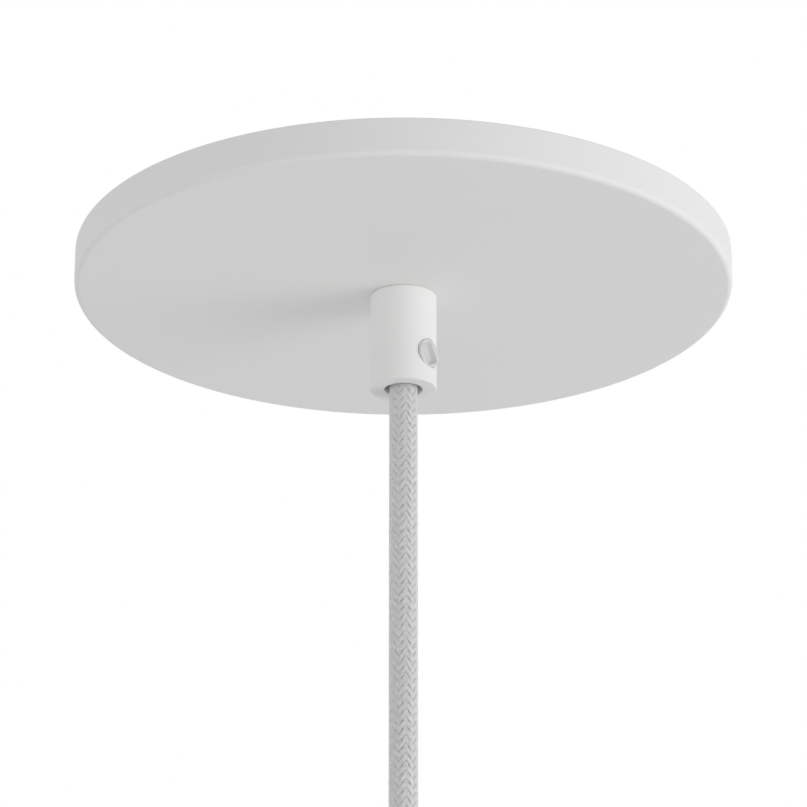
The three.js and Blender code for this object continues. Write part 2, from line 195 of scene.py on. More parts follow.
def bands(rings):
    """Faces from each ring of point numbers to the next. A ring that repeats one number is a pole."""
    faces = []
    for lower, upper in zip(rings, rings[1:]):
        for side in range(len(lower)):
            after = (side + 1) % len(lower)
            corners = list(dict.fromkeys((lower[side], lower[after], upper[after], upper[side])))
            if len(corners) > 2:
                faces.append(corners)
    return faces


def capped(points, count):
    """The solid whose points lie in rings of this count, with flat ends."""
    rings = numbered_rings(points, count)
    return points, bands(rings) + [rings[0][::-1], rings[-1]]


def lathe(outline, sides):
    """Turns (radius, height) points that go up the outside round +Z. A radius of 0 is a pole."""
    angles = [TURN * side / sides for side in range(sides)]
    points = []
    rings = []
    for radius, height in outline:
        start = len(points)
        points += ring_at(radius, height, angles if radius else [0])
        rings.append(list(range(start, start + sides)) if radius else [start] * sides)
    return points, bands(rings + rings[:1])


def arc(centre_x, centre_y, radius, start, end, steps):
    """Points on a fillet, with its angles in degrees."""
    angles = [math.radians(start + (end - start) * step / steps) for step in range(steps + 1)]
    return [(centre_x + radius * math.cos(a), centre_y + radius * math.sin(a)) for a in angles]


def circle_points(x, radius, count):
    angles = [TURN * part / count for part in range(count)]
    return [(x + radius * math.cos(a), radius * math.sin(a)) for a in angles]


def rounded_points(half_x, half_y, radius, steps=8):
    """A rectangle with round corners, as points going round it."""
    points = []
    for side_x, side_y, start in ((1, 1, 0), (-1, 1, 90), (-1, -1, 180), (1, -1, 270)):
        centre = (side_x * (half_x - radius), side_y * (half_y - radius))
        points += arc(*centre, radius, start, start + 90, steps)
    return points


def heights_between(start, stop, gap):
    return [float(height) for height in np.arange(start, stop, gap)]


def box_shape(low, high):
    points = [(x, y, z) for x in (low[0], high[0]) for y in (low[1], high[1]) for z in (low[2], high[2])]
    faces = [(0, 1, 3, 2), (4, 6, 7, 5), (0, 4, 5, 1), (2, 3, 7, 6), (0, 2, 6, 4), (1, 5, 7, 3)]
    return points, [list(face) for face in faces]


def moved(shape, matrix):
    points, faces = shape
    return [tuple(matrix @ Vector(point)) for point in points], faces


def shifted(x=0, y=0, z=0):
    return Matrix.Translation((x, y, z))


def turned(angle, axis):
    return Matrix.Rotation(angle, 4, axis)


def joined(*shapes):
    points = []
    faces = []
    for shape_points, shape_faces in shapes:
        start = len(points)
        points.extend(shape_points)
        faces.extend([start + corner for corner in face] for face in shape_faces)
    return points, faces


def new_object(name, data):
    piece = bpy.data.objects.new(name, data)
    bpy.context.scene.collection.objects.link(piece)
    return piece


def coat(mesh, slot):
    mesh.materials.clear()
    mesh.materials.append(bpy.data.materials[slot + "_finish"])


def smooth(mesh, sharp_degrees=SHARP_DEGREES):
    mesh.polygons.foreach_set("use_smooth", [True] * len(mesh.polygons))
    mesh.set_sharp_from_angle(angle=math.radians(sharp_degrees))
    mesh.update()


def make_piece(name, shape, slot, sharp_degrees=SHARP_DEGREES):
    points, faces = shape
    mesh = bpy.data.meshes.new(name)
    mesh.from_pydata([[value * MM for value in point] for point in points], [], faces)
    mesh.validate()
    coat(mesh, slot)
    smooth(mesh, sharp_degrees)
    return new_object(name, mesh)


def place(piece, slot, *nodes):
    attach(piece, "root")
    if nodes:
        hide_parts(*nodes)
    return piece


def add_piece(name, shape, slot, *nodes, sharp_degrees=SHARP_DEGREES):
    return place(make_piece(name, shape, slot, sharp_degrees), slot, *nodes)


def evaluated_mesh(piece):
    graph = bpy.context.evaluated_depsgraph_get()
    return bpy.data.meshes.new_from_object(piece.evaluated_get(graph))


def settle(piece):
    """Applies the piece's modifiers, so that a plain mesh is left."""
    mesh = evaluated_mesh(piece)
    piece.modifiers.clear()
    piece.data = mesh
    smooth(mesh)


def carve(piece, slot, *shapes):
    """Cuts the shapes out of the piece, one after the other."""
    for shape in shapes:
        cutter = make_piece("cutter", shape, slot)
        cut = piece.modifiers.new("Cut", "BOOLEAN")
        cut.operation = "DIFFERENCE"
        cut.solver = "EXACT"
        cut.object = cutter
        settle(piece)
        bpy.data.objects.remove(cutter)


def round_edges(piece, width, segments=2):
    bevel = piece.modifiers.new("Edges", "BEVEL")
    bevel.width = width * MM
    bevel.segments = segments
    bevel.limit_method = "ANGLE"
    bevel.angle_limit = math.radians(CORNER_DEGREES)
    settle(piece)


@contextlib.contextmanager
def edited(mesh):
    """The mesh as a BMesh, written back at the end."""
    shape = bmesh.new()
    shape.from_mesh(mesh)
    yield shape
    shape.to_mesh(mesh)
    shape.free()


def weld(mesh, distance=1e-6):
    with edited(mesh) as shape:
        bmesh.ops.remove_doubles(shape, verts=shape.verts, dist=distance)
        bmesh.ops.recalc_face_normals(shape, faces=shape.faces)


def stamped_plate(name, outlines, bottom, top, edge, slot):
    """A flat plate with round edges. The first outline is its outside and the others are its holes."""
    curve = bpy.data.curves.new(name, "CURVE")
    curve.dimensions = "2D"
    curve.fill_mode = "BOTH"
    curve.extrude = ((top - bottom) / 2 - edge) * MM
    curve.bevel_depth = edge * MM
    curve.bevel_resolution = 2
    curve.offset = -edge * MM
    for outline in outlines:
        spline = curve.splines.new("POLY")
        spline.points.add(len(outline) - 1)
        for point, (x, y) in zip(spline.points, outline):
            point.co = (x * MM, y * MM, 0, 1)
        spline.use_cyclic_u = True
    holder = new_object(name, curve)
    mesh = evaluated_mesh(holder)
    bpy.data.objects.remove(holder)
    mesh.transform(shifted(z=(top + bottom) / 2 * MM))
    weld(mesh)
    coat(mesh, slot)
    smooth(mesh)
    return new_object(name, mesh)


# Geometry Nodes

class Field:
    """A socket of a node tree that can be reckoned with."""

    def __init__(self, tree, socket):
        self.tree = tree
        self.socket = socket

    def maths(self, operation, *others):
        node = self.tree.nodes.new("ShaderNodeMath")
        node.operation = operation
        for value, socket in zip((self, *others), node.inputs):
            plug(self.tree, value, socket)
        return Field(self.tree, node.outputs[0])

    def __add__(self, other):
        return self.maths("ADD", other)

    def __sub__(self, other):
        return self.maths("SUBTRACT", other)

    def __mul__(self, other):
        return self.maths("MULTIPLY", other)

    def __truediv__(self, other):
        return self.maths("DIVIDE", other)

    def inverse(self):
        return self.maths("POWER", -1)

    def rest(self):
        """What is left of 1."""
        return self * -1 + 1

    def clamped(self):
        """Held between 0 and 1."""
        return self.maths("MINIMUM", 1).maths("MAXIMUM", 0)


def plug(tree, value, socket):
    if isinstance(value, Field):
        tree.links.new(value.socket, socket)
    elif isinstance(value, bpy.types.NodeSocket):
        tree.links.new(value, socket)
    else:
        socket.default_value = value


def step(tree, kind, inputs=None, **settings):
    """Adds a node with its settings, and fills its inputs by name."""
    node = tree.nodes.new(kind)
    for key, value in settings.items():
        setattr(node, key, value)
    for name, value in (inputs or {}).items():
        plug(tree, value, next(socket for socket in node.inputs if socket.name == name and socket.enabled))
    return node


def result(tree, kind, inputs=None, **settings):
    """The first output of a new node."""
    return step(tree, kind, inputs, **settings).outputs[0]


def combined(tree, x=0.0, y=0.0, z=0.0):
    return result(tree, "ShaderNodeCombineXYZ", {"X": x, "Y": y, "Z": z})


def separated(tree, spot):
    return [Field(tree, socket) for socket in step(tree, "ShaderNodeSeparateXYZ", {"Vector": spot}).outputs]


def noise(tree, spot, scale, detail, roughness=0.5):
    return Field(tree, result(tree, "ShaderNodeTexNoise", {
        "Vector": spot, "Scale": scale, "Detail": detail, "Roughness": roughness}))


SOCKET_KINDS = {float: "NodeSocketFloat", int: "NodeSocketInt", tuple: "NodeSocketColor"}


def add_inputs(tree, values):
    for label, value in values.items():
        socket = tree.interface.new_socket(name=label, in_out="INPUT", socket_type=SOCKET_KINDS[type(value)])
        socket.default_value = value


def given_fields(tree):
    entry = tree.nodes.new("NodeGroupInput")
    return {socket.name: Field(tree, socket) for socket in entry.outputs if socket.name}


def geometry_tree(name, values):
    """A tree with a Geometry input, an input for each named value, and a Material."""
    tree = bpy.data.node_groups.new(name, "GeometryNodeTree")
    tree.interface.new_socket(name="Geometry", in_out="INPUT", socket_type="NodeSocketGeometry")
    add_inputs(tree, values)
    tree.interface.new_socket(name="Material", in_out="INPUT", socket_type="NodeSocketMaterial")
    tree.interface.new_socket(name="Geometry", in_out="OUTPUT", socket_type="NodeSocketGeometry")
    return tree, given_fields(tree)


def end_tree(tree, given, *geometries):
    """Joins the geometries, makes their instances real and gives them the material."""
    whole = tree.nodes.new("GeometryNodeJoinGeometry")
    for geometry in geometries:
        plug(tree, geometry, whole.inputs[0])
    real = result(tree, "GeometryNodeRealizeInstances", {"Geometry": whole.outputs[0]})
    finished = result(tree, "GeometryNodeSetMaterial", {"Geometry": real, "Material": given["Material"]})
    tree.links.new(finished, tree.nodes.new("NodeGroupOutput").inputs[0])
    return tree


def run_tree(piece, tree, values):
    """Runs the tree on the piece with these inputs, and leaves a plain mesh."""
    modifier = piece.modifiers.new(tree.name, "NODES")
    modifier.node_group = tree
    sockets = {item.name: item.identifier for item in tree.interface.items_tree if item.in_out == "INPUT"}
    for label, value in values.items():
        modifier[sockets[label]] = value
    modifier[sockets["Material"]] = piece.data.materials[0]
    settle(piece)


def attribute(tree, name):
    return Field(tree, result(tree, "GeometryNodeInputNamedAttribute", {"Name": name}, data_type="FLOAT"))


def keep_attribute(tree, geometry, name, value, domain="POINT"):
    return result(
        tree, "GeometryNodeStoreNamedAttribute", {"Geometry": geometry, "Name": name, "Value": value},
        data_type="FLOAT", domain=domain)


# The braid: points round a tape's section and along it, and how its yarn ends lie
TAPE_POINTS = 12
TAPE_TOP_POINTS = 8
TAPE_SAMPLES = 280
YARN_ENDS = 3
VALLEY_DEPTH = 0.3
UNDERSIDE_DEPTH = 0.3
WANDER_SCALE = 260
WANDER_WIDTH = 0.22
CARRIERS_APART = 3.7
SEEDS_APART = 1.9

# The side whose gaps get the darkest painted shade, where the key light would make their shadows show, and
# how much narrower the tapes are there
OPEN_SIDE = math.radians(11)
OPEN_SHARPNESS = 14
CLOSED_WIDTH = 1.08
OPEN_NARROWING = 0.1
CROSSING_SLANT = 0.6
GAP_SHADE_LEAN = 0.4
GAP_SHADE_REACH = 0.92
GAP_SHADE_SHARPNESS = 3


def yarn_valleys(across):
    """0 on the yarn ends of a tape and 1 between them."""
    return (across * (YARN_ENDS * math.pi)).maths("COSINE") * -0.5 + 0.5


def bundle_of_tapes(tree, given):
    """One straight tape for each carrier, with each point's place kept as attributes."""
    line = result(tree, "GeometryNodeCurvePrimitiveLine")
    spine = result(tree, "GeometryNodeResampleCurve", {"Curve": line, "Count": given["Samples"]})
    along = step(tree, "GeometryNodeSplineParameter").outputs["Factor"]
    section = result(tree, "GeometryNodeCurvePrimitiveCircle", {"Resolution": TAPE_POINTS})
    tape = result(tree, "GeometryNodeCurveToMesh", {
        "Curve": keep_attribute(tree, spine, "along", along),
        "Profile Curve": keep_attribute(tree, section, "round", result(tree, "GeometryNodeInputIndex")),
        "Fill Caps": True})
    single = result(tree, "GeometryNodeGeometryToInstance", {"Geometry": tape})
    copies = step(tree, "GeometryNodeDuplicateElements", {
        "Geometry": single, "Amount": given["Carriers"]}, domain="INSTANCE")
    numbered = keep_attribute(tree, copies.outputs[0], "carrier", copies.outputs[1], domain="INSTANCE")
    return result(tree, "GeometryNodeRealizeInstances", {"Geometry": numbered})


def tape_section(tree, given):
    """Place across the tape, from -1 to 1 over its yarn ends and back underneath, and height."""
    place_round = attribute(tree, "round")
    on_top = place_round.maths("LESS_THAN", TAPE_TOP_POINTS - 0.5)
    under = on_top.rest()
    across_top = place_round * (-2 / (TAPE_TOP_POINTS - 1)) + 1
    across_under = place_round * 0.5 - 0.5 * TAPE_TOP_POINTS - 0.75
    across = on_top * across_top + under * across_under
    crown = across_top.maths("POWER", 4).rest().maths("MAXIMUM", 0).maths("SQRT")
    top = on_top * crown * (yarn_valleys(across_top) * -VALLEY_DEPTH + 1)
    return across, given["Tape thickness"] * (top - under * UNDERSIDE_DEPTH)


def braid_tree():
    """Carriers of flat yarn tape that go round the cord both ways, over two and under two."""
    tree, given = geometry_tree("Braid", {
        "Radius": 0.0032, "Lay": 0.02376, "Carriers": 24, "Tape width": 0.00124, "Tape thickness": 0.0003,
        "Wave": 0.0001, "Turn": 0.0, "Top": -0.004, "Length": 0.16, "Samples": TAPE_SAMPLES, "Seed": 3})
    tapes = bundle_of_tapes(tree, given)
    across, height = tape_section(tree, given)
    carrier = attribute(tree, "carrier")
    side = carrier.maths("MODULO", 2) * 2 - 1
    number = (carrier / 2).maths("FLOOR")
    fall = attribute(tree, "along") * given["Length"]
    rate = given["Lay"].inverse() * TURN
    middle = given["Radius"] - given["Tape thickness"] - given["Wave"]
    slant = (rate * middle).maths("ARCTANGENT")
    spot = combined(tree, fall * WANDER_SCALE, carrier * CARRIERS_APART, given["Seed"] * SEEDS_APART)
    wander = noise(tree, spot, 1.0, 1.0) - 0.5
    start = number * (given["Carriers"].inverse() * (2 * TURN))
    centre_turn = side * fall * rate + start
    facing = (centre_turn + given["Turn"] - OPEN_SIDE).maths("COSINE") * 0.5 + 0.5
    openness = facing.maths("POWER", OPEN_SHARPNESS)
    width = given["Tape width"] * (openness * -OPEN_NARROWING + CLOSED_WIDTH)
    offset = width * (across * 0.5 + wander * WANDER_WIDTH)
    aside = offset * slant.maths("COSINE") / middle

    # Where tapes cross, the one on top rises, and the gap at its end gets a dark mark of painted shade that
    # is strongest on that side
    columns = given["Carriers"] / 4
    crossing = (centre_turn + aside * CROSSING_SLANT) * columns
    beat = crossing.maths("COSINE")
    rise = beat * (beat * beat * -0.5 + 1.5) * side
    uppermost = (crossing.maths("SINE") * GAP_SHADE_LEAN + beat * side * GAP_SHADE_REACH).maths("MAXIMUM", 0)
    dash = uppermost.maths("POWER", GAP_SHADE_SHARPNESS) * openness
    radius = middle + given["Wave"] * rise * (wander * 0.5 + 1) + height
    turn = centre_turn + aside + given["Turn"]
    level = given["Top"] - fall + side * offset * slant.maths("SINE")
    held_level = level.maths("MINIMUM", given["Top"]).maths("MAXIMUM", given["Top"] - given["Length"])
    position = combined(tree, radius * turn.maths("SINE"), radius * turn.maths("COSINE") * -1, held_level)
    laid = result(tree, "GeometryNodeSetPosition", {"Geometry": tapes, "Position": position})
    painted = keep_attribute(tree, keep_attribute(tree, laid, "across", across), "dash", dash)
    return end_tree(tree, given, painted, given["Geometry"])


THREAD_CREST = 0.86
THREAD_ROUND = 0.1
WALL_TOLERANCE = 0.00002


def thread_tree():
    """Raises a helical thread on a turned piece's outer wall, between two heights."""
    tree, given = geometry_tree("Thread", {
        "Radius": 0.005, "Depth": 0.0006, "Pitch": 0.001, "Bottom": 0.0, "Top": 0.01, "Run out": 0.0006})
    x, y, z = separated(tree, result(tree, "GeometryNodeInputPosition"))
    radius = (x * x + y * y).maths("SQRT")
    turn = y.maths("ARCTAN2", x) / TURN
    phase = (z / given["Pitch"] - turn).maths("PINGPONG", 0.5) * 2
    crest = phase.maths("SMOOTH_MIN", THREAD_CREST, THREAD_ROUND)
    crest = crest.maths("SMOOTH_MAX", THREAD_ROUND, THREAD_ROUND)
    from_bottom = ((z - given["Bottom"]) / given["Run out"]).clamped()
    from_top = ((given["Top"] - z) / given["Run out"]).clamped()
    on_wall = radius.maths("COMPARE", given["Radius"], WALL_TOLERANCE)
    sink = given["Depth"] * (crest - THREAD_CREST) * from_bottom * from_top * on_wall
    stretch = sink / radius.maths("MAXIMUM", 0.0001)
    cut = result(tree, "GeometryNodeSetPosition", {
        "Geometry": given["Geometry"], "Offset": combined(tree, x * stretch, y * stretch)})
    return end_tree(tree, given, cut)


def cut_thread(piece, radius, bottom, top, pitch=1.0, depth=0.6, run_out=0.6):
    """Runs the thread tree between two heights, all in millimetres."""
    run_tree(piece, bpy.data.node_groups.get("Thread") or thread_tree(), {
        "Radius": radius * MM, "Depth": depth * MM, "Pitch": pitch * MM, "Bottom": bottom * MM,
        "Top": top * MM, "Run out": run_out * MM})


def teeth_tree():
    """Sets twisted teeth round a washer."""
    tree, given = geometry_tree("Washer teeth", {
        "Radius": 0.0072, "Teeth": 14, "Length": 0.0016, "Width": 0.0018, "Thickness": 0.0005,
        "Twist": math.radians(24), "Height": -0.0024})
    size = combined(tree, given["Length"], given["Width"], given["Thickness"])
    spots = result(tree, "GeometryNodeMeshCircle", {"Vertices": given["Teeth"], "Radius": given["Radius"]})
    number = Field(tree, result(tree, "GeometryNodeInputIndex"))
    placed = result(tree, "GeometryNodeInstanceOnPoints", {
        "Points": spots, "Instance": result(tree, "GeometryNodeMeshCube", {"Size": size}),
        "Rotation": combined(tree, x=given["Twist"], z=number / given["Teeth"] * TURN)})
    raised = result(tree, "GeometryNodeTranslateInstances", {
        "Instances": placed, "Translation": combined(tree, z=given["Height"]), "Local Space": False})
    return end_tree(tree, given, raised, given["Geometry"])


# Materials

def surface_group():
    """Mottling, roughness and fine relief of a coated, plated or moulded surface, by Object coordinates."""
    group = bpy.data.node_groups.new("Surface", "ShaderNodeTree")
    add_inputs(group, {
        "Light": (0.8, 0.8, 0.8, 1), "Dark": (0.75, 0.75, 0.75, 1), "Patch scale": 200.0,
        "Grain scale": 1500.0, "Rough low": 0.4, "Rough high": 0.5, "Stretch": 1.0})
    for label, kind in (("Colour", "Color"), ("Roughness", "Float"), ("Height", "Float")):
        group.interface.new_socket(name=label, in_out="OUTPUT", socket_type="NodeSocket" + kind)
    given = given_fields(group)
    spot = step(group, "ShaderNodeTexCoord").outputs["Object"]
    x, y, z = separated(group, spot)
    stretched = combined(group, x, y * given["Stretch"], z * given["Stretch"])
    patches = noise(group, spot, given["Patch scale"], 4.0, 0.6)
    grain = noise(group, stretched, given["Grain scale"], 2.0)
    spread = (patches * 2.4 - 0.7).clamped()
    exit_node = group.nodes.new("NodeGroupOutput")
    colour = mix_colours(group, spread * 0.7 + grain * 0.3, given["Dark"], given["Light"])
    rough = given["Rough low"] + (given["Rough high"] - given["Rough low"]) * (spread * 0.5 + grain * 0.5)
    for value, socket in zip((colour, rough, grain), exit_node.inputs):
        plug(group, value, socket)


def mix_colours(tree, share, first, second):
    node = step(tree, "ShaderNodeMix", data_type="RGBA")
    for value, socket in ((share, node.inputs["Factor"]), (first, node.inputs[6]), (second, node.inputs[7])):
        plug(tree, value, socket)
    return node.outputs[2]


def painted_value(tree, name):
    """A value that the mesh keeps on its points."""
    return Field(tree, step(tree, "ShaderNodeAttribute", attribute_name=name).outputs["Fac"])


def new_material(name):
    """The added word keeps the name apart from the part's own material of that slot."""
    material = bpy.data.materials.new(name + "_finish")
    material.use_nodes = True
    return material.node_tree, material.node_tree.nodes["Principled BSDF"]


def shade(colour, factor=1):
    return tuple(min(1, value * factor) for value in colour) + (1,)


def bump(tree, shader, height, strength, distance):
    relief = step(tree, "ShaderNodeBump", {"Strength": strength, "Distance": distance * MM, "Height": height})
    tree.links.new(relief.outputs[0], shader.inputs["Normal"])


def solid_material(name, colour, rough=(0.4, 0.5), darker=0.93, patch=200.0, grain=1500.0, stretch=1.0,
                   relief=0.004, strength=0.4, **fixed):
    tree, shader = new_material(name)
    surface = tree.nodes.new("ShaderNodeGroup")
    surface.node_tree = bpy.data.node_groups["Surface"]
    values = {
        "Light": shade(colour), "Dark": shade(colour, darker), "Patch scale": patch, "Grain scale": grain,
        "Rough low": rough[0], "Rough high": rough[1], "Stretch": stretch}
    for label, value in values.items():
        surface.inputs[label].default_value = value
    tree.links.new(surface.outputs["Colour"], shader.inputs["Base Color"])
    tree.links.new(surface.outputs["Roughness"], shader.inputs["Roughness"])
    for label, value in fixed.items():
        shader.inputs[label.replace("_", " ")].default_value = value
    bump(tree, shader, surface.outputs["Height"], strength, relief)
    return tree, shader


# The yarn colour's dark end, which both the darker fibres and the painted shade reach, and its pale end
DARK_YARN_AND_SHADE = 0.38
PALE_YARN = 1.17


def braid_material(colour):
    """Yarn ends with fine twisted fibres, with painted shade at the tapes' edges, between the yarn ends and
    in the gaps where tapes cross.
    """
    tree, shader = new_material("grey_braid")
    across, carrier, dash = (painted_value(tree, name) for name in ("across", "carrier", "dash"))
    along = painted_value(tree, "along") * (cord_length() / MM)
    fibre_spot = combined(tree, across * 2.4 + along * 1.6, along * 0.9, carrier * 5.3)
    fibre = noise(tree, fibre_spot, 1.6, 3.0, 0.6)
    tone = noise(tree, combined(tree, across * 1.4, along * 0.35, carrier * 2.1), 1.0, 2.0)
    edge = across.maths("ABSOLUTE").maths("POWER", 6)
    # Fibre and tone are the yarn's own colour; the edge, valley and gap terms are painted shade in the
    # braid's creases
    lightness = fibre * 1.3 + tone * 0.2 - 0.1 - edge * 0.05 - yarn_valleys(across) * 0.2 - edge * dash * 2
    yarn = mix_colours(tree, lightness.clamped(), shade(colour, DARK_YARN_AND_SHADE), shade(colour, PALE_YARN))
    tree.links.new(yarn, shader.inputs["Base Color"])
    plug(tree, fibre * 0.15 + 0.3, shader.inputs["Roughness"])
    shader.inputs["Specular IOR Level"].default_value = 1.0
    bump(tree, shader, fibre, 0.7, 0.05)


def earth_material(green, yellow):
    """Green insulation with a yellow stripe that follows the core."""
    tree, shader = solid_material("earth_insulation", green, rough=(0.35, 0.45), patch=60.0, grain=2200.0,
                                  relief=0.003)
    base = shader.inputs["Base Color"]
    share = (painted_value(tree, "stripe") * 14.0 + 0.5).clamped()
    tree.links.new(mix_colours(tree, share, base.links[0].from_socket, shade(yellow)), base)


def make_materials():
    look = finishes()
    surface_group()
    solid_material("white_paint", look.paint, rough=(0.66, 0.76), darker=0.985, patch=35.0, grain=2600.0,
                   relief=0.006, strength=0.35)
    solid_material("clear_plastic", look.clear, rough=(0.03, 0.07), darker=0.985, patch=300.0,
                   relief=0.003, strength=0.2, Transmission_Weight=0.4, IOR=1.5)
    solid_material("zinc_steel", look.zinc, rough=(0.22, 0.42), darker=0.8, patch=120.0, grain=900.0,
                   stretch=5.0, Metallic=1.0)
    solid_material("brass", look.brass, rough=(0.2, 0.36), darker=0.82, patch=240.0, grain=1600.0,
                   Metallic=1.0)
    solid_material("tinned_copper", look.tin, rough=(0.25, 0.45), darker=0.82, patch=260.0, Metallic=1.0)
    solid_material("black_plastic", look.black, rough=(0.4, 0.55), darker=0.8, grain=3000.0)
    solid_material("white_plastic", look.white, rough=(0.35, 0.5), darker=0.96, patch=150.0, grain=2600.0)
    solid_material("brown_insulation", look.live, rough=(0.3, 0.42), darker=0.85)
    solid_material("blue_insulation", look.neutral, rough=(0.3, 0.42), darker=0.88)
    earth_material(look.earth, look.earth_stripe)
    braid_material(look.braid)


# Camera, light and floor

CAMERA_PLACE = (0.000024, -0.71, -0.314479)
CAMERA_PITCH = math.radians(21.5028)
CAMERA_LENS = 150.755
SENSOR_WIDTH = 36
NEAR_CLIP = 0.01
FAR_CLIP = 30
SKY_LIGHT = 0.51
LOW_LIGHT = 1.26
KEY_TARGET = Vector((0, 0, -0.02))
KEY_DIRECTION = Vector((0.873, -0.317, -0.370)).normalized()
KEY_DISTANCE = 1.6
KEY_SIZE = 1.2
KEY_POWER = 9.0
FLOOR_HEIGHT = -2.4
FLOOR_SIZE = 8
FLOOR_GLOW = 0.7
FLOOR_SHADES = ((0.84, 0.84, 0.84, 1), (0.87, 0.87, 0.87, 1))
WHITE = (1, 1, 1, 1)


class CANOPY_OT_stage(bpy.types.Operator):
    """Adds the camera, the soft studio light and the pale floor"""

    bl_idname = "canopy.stage"
    bl_label = "Stage"

    def execute(self, context):
        scene = context.scene
        scene.view_settings.view_transform = "Standard"
        lens = bpy.data.cameras.new("Camera")
        lens.sensor_width = SENSOR_WIDTH
        lens.lens = CAMERA_LENS
        lens.clip_start = NEAR_CLIP
        lens.clip_end = FAR_CLIP
        scene.camera = new_object("Camera", lens)
        scene.camera.location = CAMERA_PLACE
        scene.camera.rotation_euler = (QUARTER + CAMERA_PITCH, 0, 0)
        make_world(scene)
        lamp = bpy.data.lights.new("Key", "AREA")
        lamp.shape = "DISK"
        lamp.size = KEY_SIZE
        lamp.energy = KEY_POWER
        key = new_object("Key", lamp)
        key.location = KEY_TARGET + KEY_DIRECTION * KEY_DISTANCE
        key.rotation_euler = KEY_DIRECTION.to_track_quat("Z", "Y").to_euler()
        bpy.ops.mesh.primitive_plane_add(size=FLOOR_SIZE, location=(0, 0, FLOOR_HEIGHT))
        floor = context.object
        floor.name = "Floor"
        floor_material()
        coat(floor.data, "floor")
        return {"FINISHED"}


def seen_directly(tree):
    """1 for rays from the camera, from a reflection and through glass."""
    path = step(tree, "ShaderNodeLightPath")
    camera, glossy, through = (
        Field(tree, path.outputs[name]) for name in ("Is Camera Ray", "Is Glossy Ray", "Is Transmission Ray"))
    return (camera + glossy + through).maths("MINIMUM", 1)


def make_world(scene):
    """White where it is seen. Its light is stronger from below, as from lamps over a pale floor."""
    world = bpy.data.worlds.new("Studio")
    world.use_nodes = True
    scene.world = world
    tree = world.node_tree
    light = tree.nodes["Background"]
    light.inputs["Color"].default_value = WHITE
    height = separated(tree, step(tree, "ShaderNodeTexCoord").outputs["Generated"])[2]
    strength = (height * -5 + 0.5).clamped() * (LOW_LIGHT - SKY_LIGHT) + SKY_LIGHT
    plug(tree, strength + seen_directly(tree) * strength.rest(), light.inputs["Strength"])


def floor_material():
    """Pale matt floor with a faint mottle. It keeps the object's shadow."""
    tree, shader = new_material("floor")
    mottle = noise(tree, step(tree, "ShaderNodeTexCoord").outputs["Object"], 3.0, 3.0)
    tree.links.new(mix_colours(tree, mottle, *FLOOR_SHADES), shader.inputs["Base Color"])
    shader.inputs["Roughness"].default_value = 0.9
    shader.inputs["Emission Color"].default_value = WHITE
    plug(tree, seen_directly(tree) * FLOOR_GLOW, shader.inputs["Emission Strength"])


# Cord

# The tapes' crowns stand this far over the cord's nominal radius, so that the worn outline is the nominal one
CROWN_RISE = 0.00006
FILLER_SIDES = 48
FILLER_SINK = 1.3
FILLER_EDGE = 0.3


class CANOPY_OT_cord(bpy.types.Operator):
    """Makes the braided cord"""

    bl_idname = "canopy.cord"
    bl_label = "Braided cord"

    def execute(self, context):
        cord = cord_sizes()
        radius = (cord.diameter / 2 - cord.tape_thickness * FILLER_SINK - 2 * cord.wave) / MM
        bottom = CORD_HEIGHTS[-1]
        top = CORD_HEIGHTS[0]
        outline = [(0, bottom), (radius - FILLER_EDGE, bottom), (radius, bottom + FILLER_EDGE)]
        outline += [(radius, height) for height in CORD_HEIGHTS[-2:0:-1]]
        outline += [(radius, top - FILLER_EDGE), (radius - FILLER_EDGE, top), (0, top)]
        piece = make_piece("pendant_cord", lathe(outline, FILLER_SIDES), "grey_braid")
        run_tree(piece, braid_tree(), {
            "Radius": cord.diameter / 2 + CROWN_RISE, "Lay": cord.lay, "Carriers": cord.carriers,
            "Tape width": cord.tape_width, "Tape thickness": cord.tape_thickness, "Wave": cord.wave,
            "Turn": cord.turn, "Top": CORD_LINE[0][2], "Length": cord_length()})
        weld(piece.data, 1e-9)
        place(piece, "grey_braid", "cord")
        return {"FINISHED"}


# Canopy pan

PAN_SIDES = 288
PAN_LIP = 0.25


class CANOPY_OT_pan(bpy.types.Operator):
    """Makes the pressed canopy pan"""

    bl_idname = "canopy.pan"
    bl_label = "Canopy pan"

    def execute(self, context):
        size = sizes()
        outer = size.pan_diameter / 2 / MM
        sheet = size.pan_sheet / MM
        edge = size.pan_edge / MM
        face = grip_face()
        flat = outer - edge
        outline = [(NIPPLE_HOLE, face), (NIPPLE_HOLE + 3, face), (outer / 2, face), (flat - 1, face)]
        outline += [(flat - 0.2, face)] + arc(flat, face + edge, edge, -90, 0, 12)
        outline += [(outer, face + edge + 0.2), (outer, -PAN_LIP - 0.1)]
        outline += arc(outer - PAN_LIP, -PAN_LIP, PAN_LIP, 0, 90, 4)
        outline += arc(outer - sheet + PAN_LIP, -PAN_LIP, PAN_LIP, 90, 180, 4)
        outline += [(outer - sheet, face + edge + 0.3)]
        outline += arc(flat, face + edge, edge - sheet, 0, -90, 5)
        outline += [(flat - 1, sheet + face), (outer / 2, sheet + face), (NIPPLE_HOLE + 0.1, sheet + face)]
        outline += [(NIPPLE_HOLE, sheet + face - 0.1), (NIPPLE_HOLE, face + 0.1)]
        add_piece("canopy_shell", lathe(outline, PAN_SIDES), "white_paint", "canopy_pan")
        return {"FINISHED"}


# Cord grips. A patch of cells in front of the screw, on each of a grip's two walls, is filled up to the hole

CELLS = 24
COLUMNS = CELLS * 5
PATCH_REACH = 4.8
OUTER_PATCH = math.radians(36)
BORE_PATCH = math.radians(72)
SCREW_FIT = 0.04
HOLE_RIM = 0.16
HOLE_RIM_STEPS = 4
FILL_EASE = 0.8
OUTER_FILL_STEPS = 8
BORE_FILL_STEPS = 6
GRIP_SHARP_DEGREES = 32


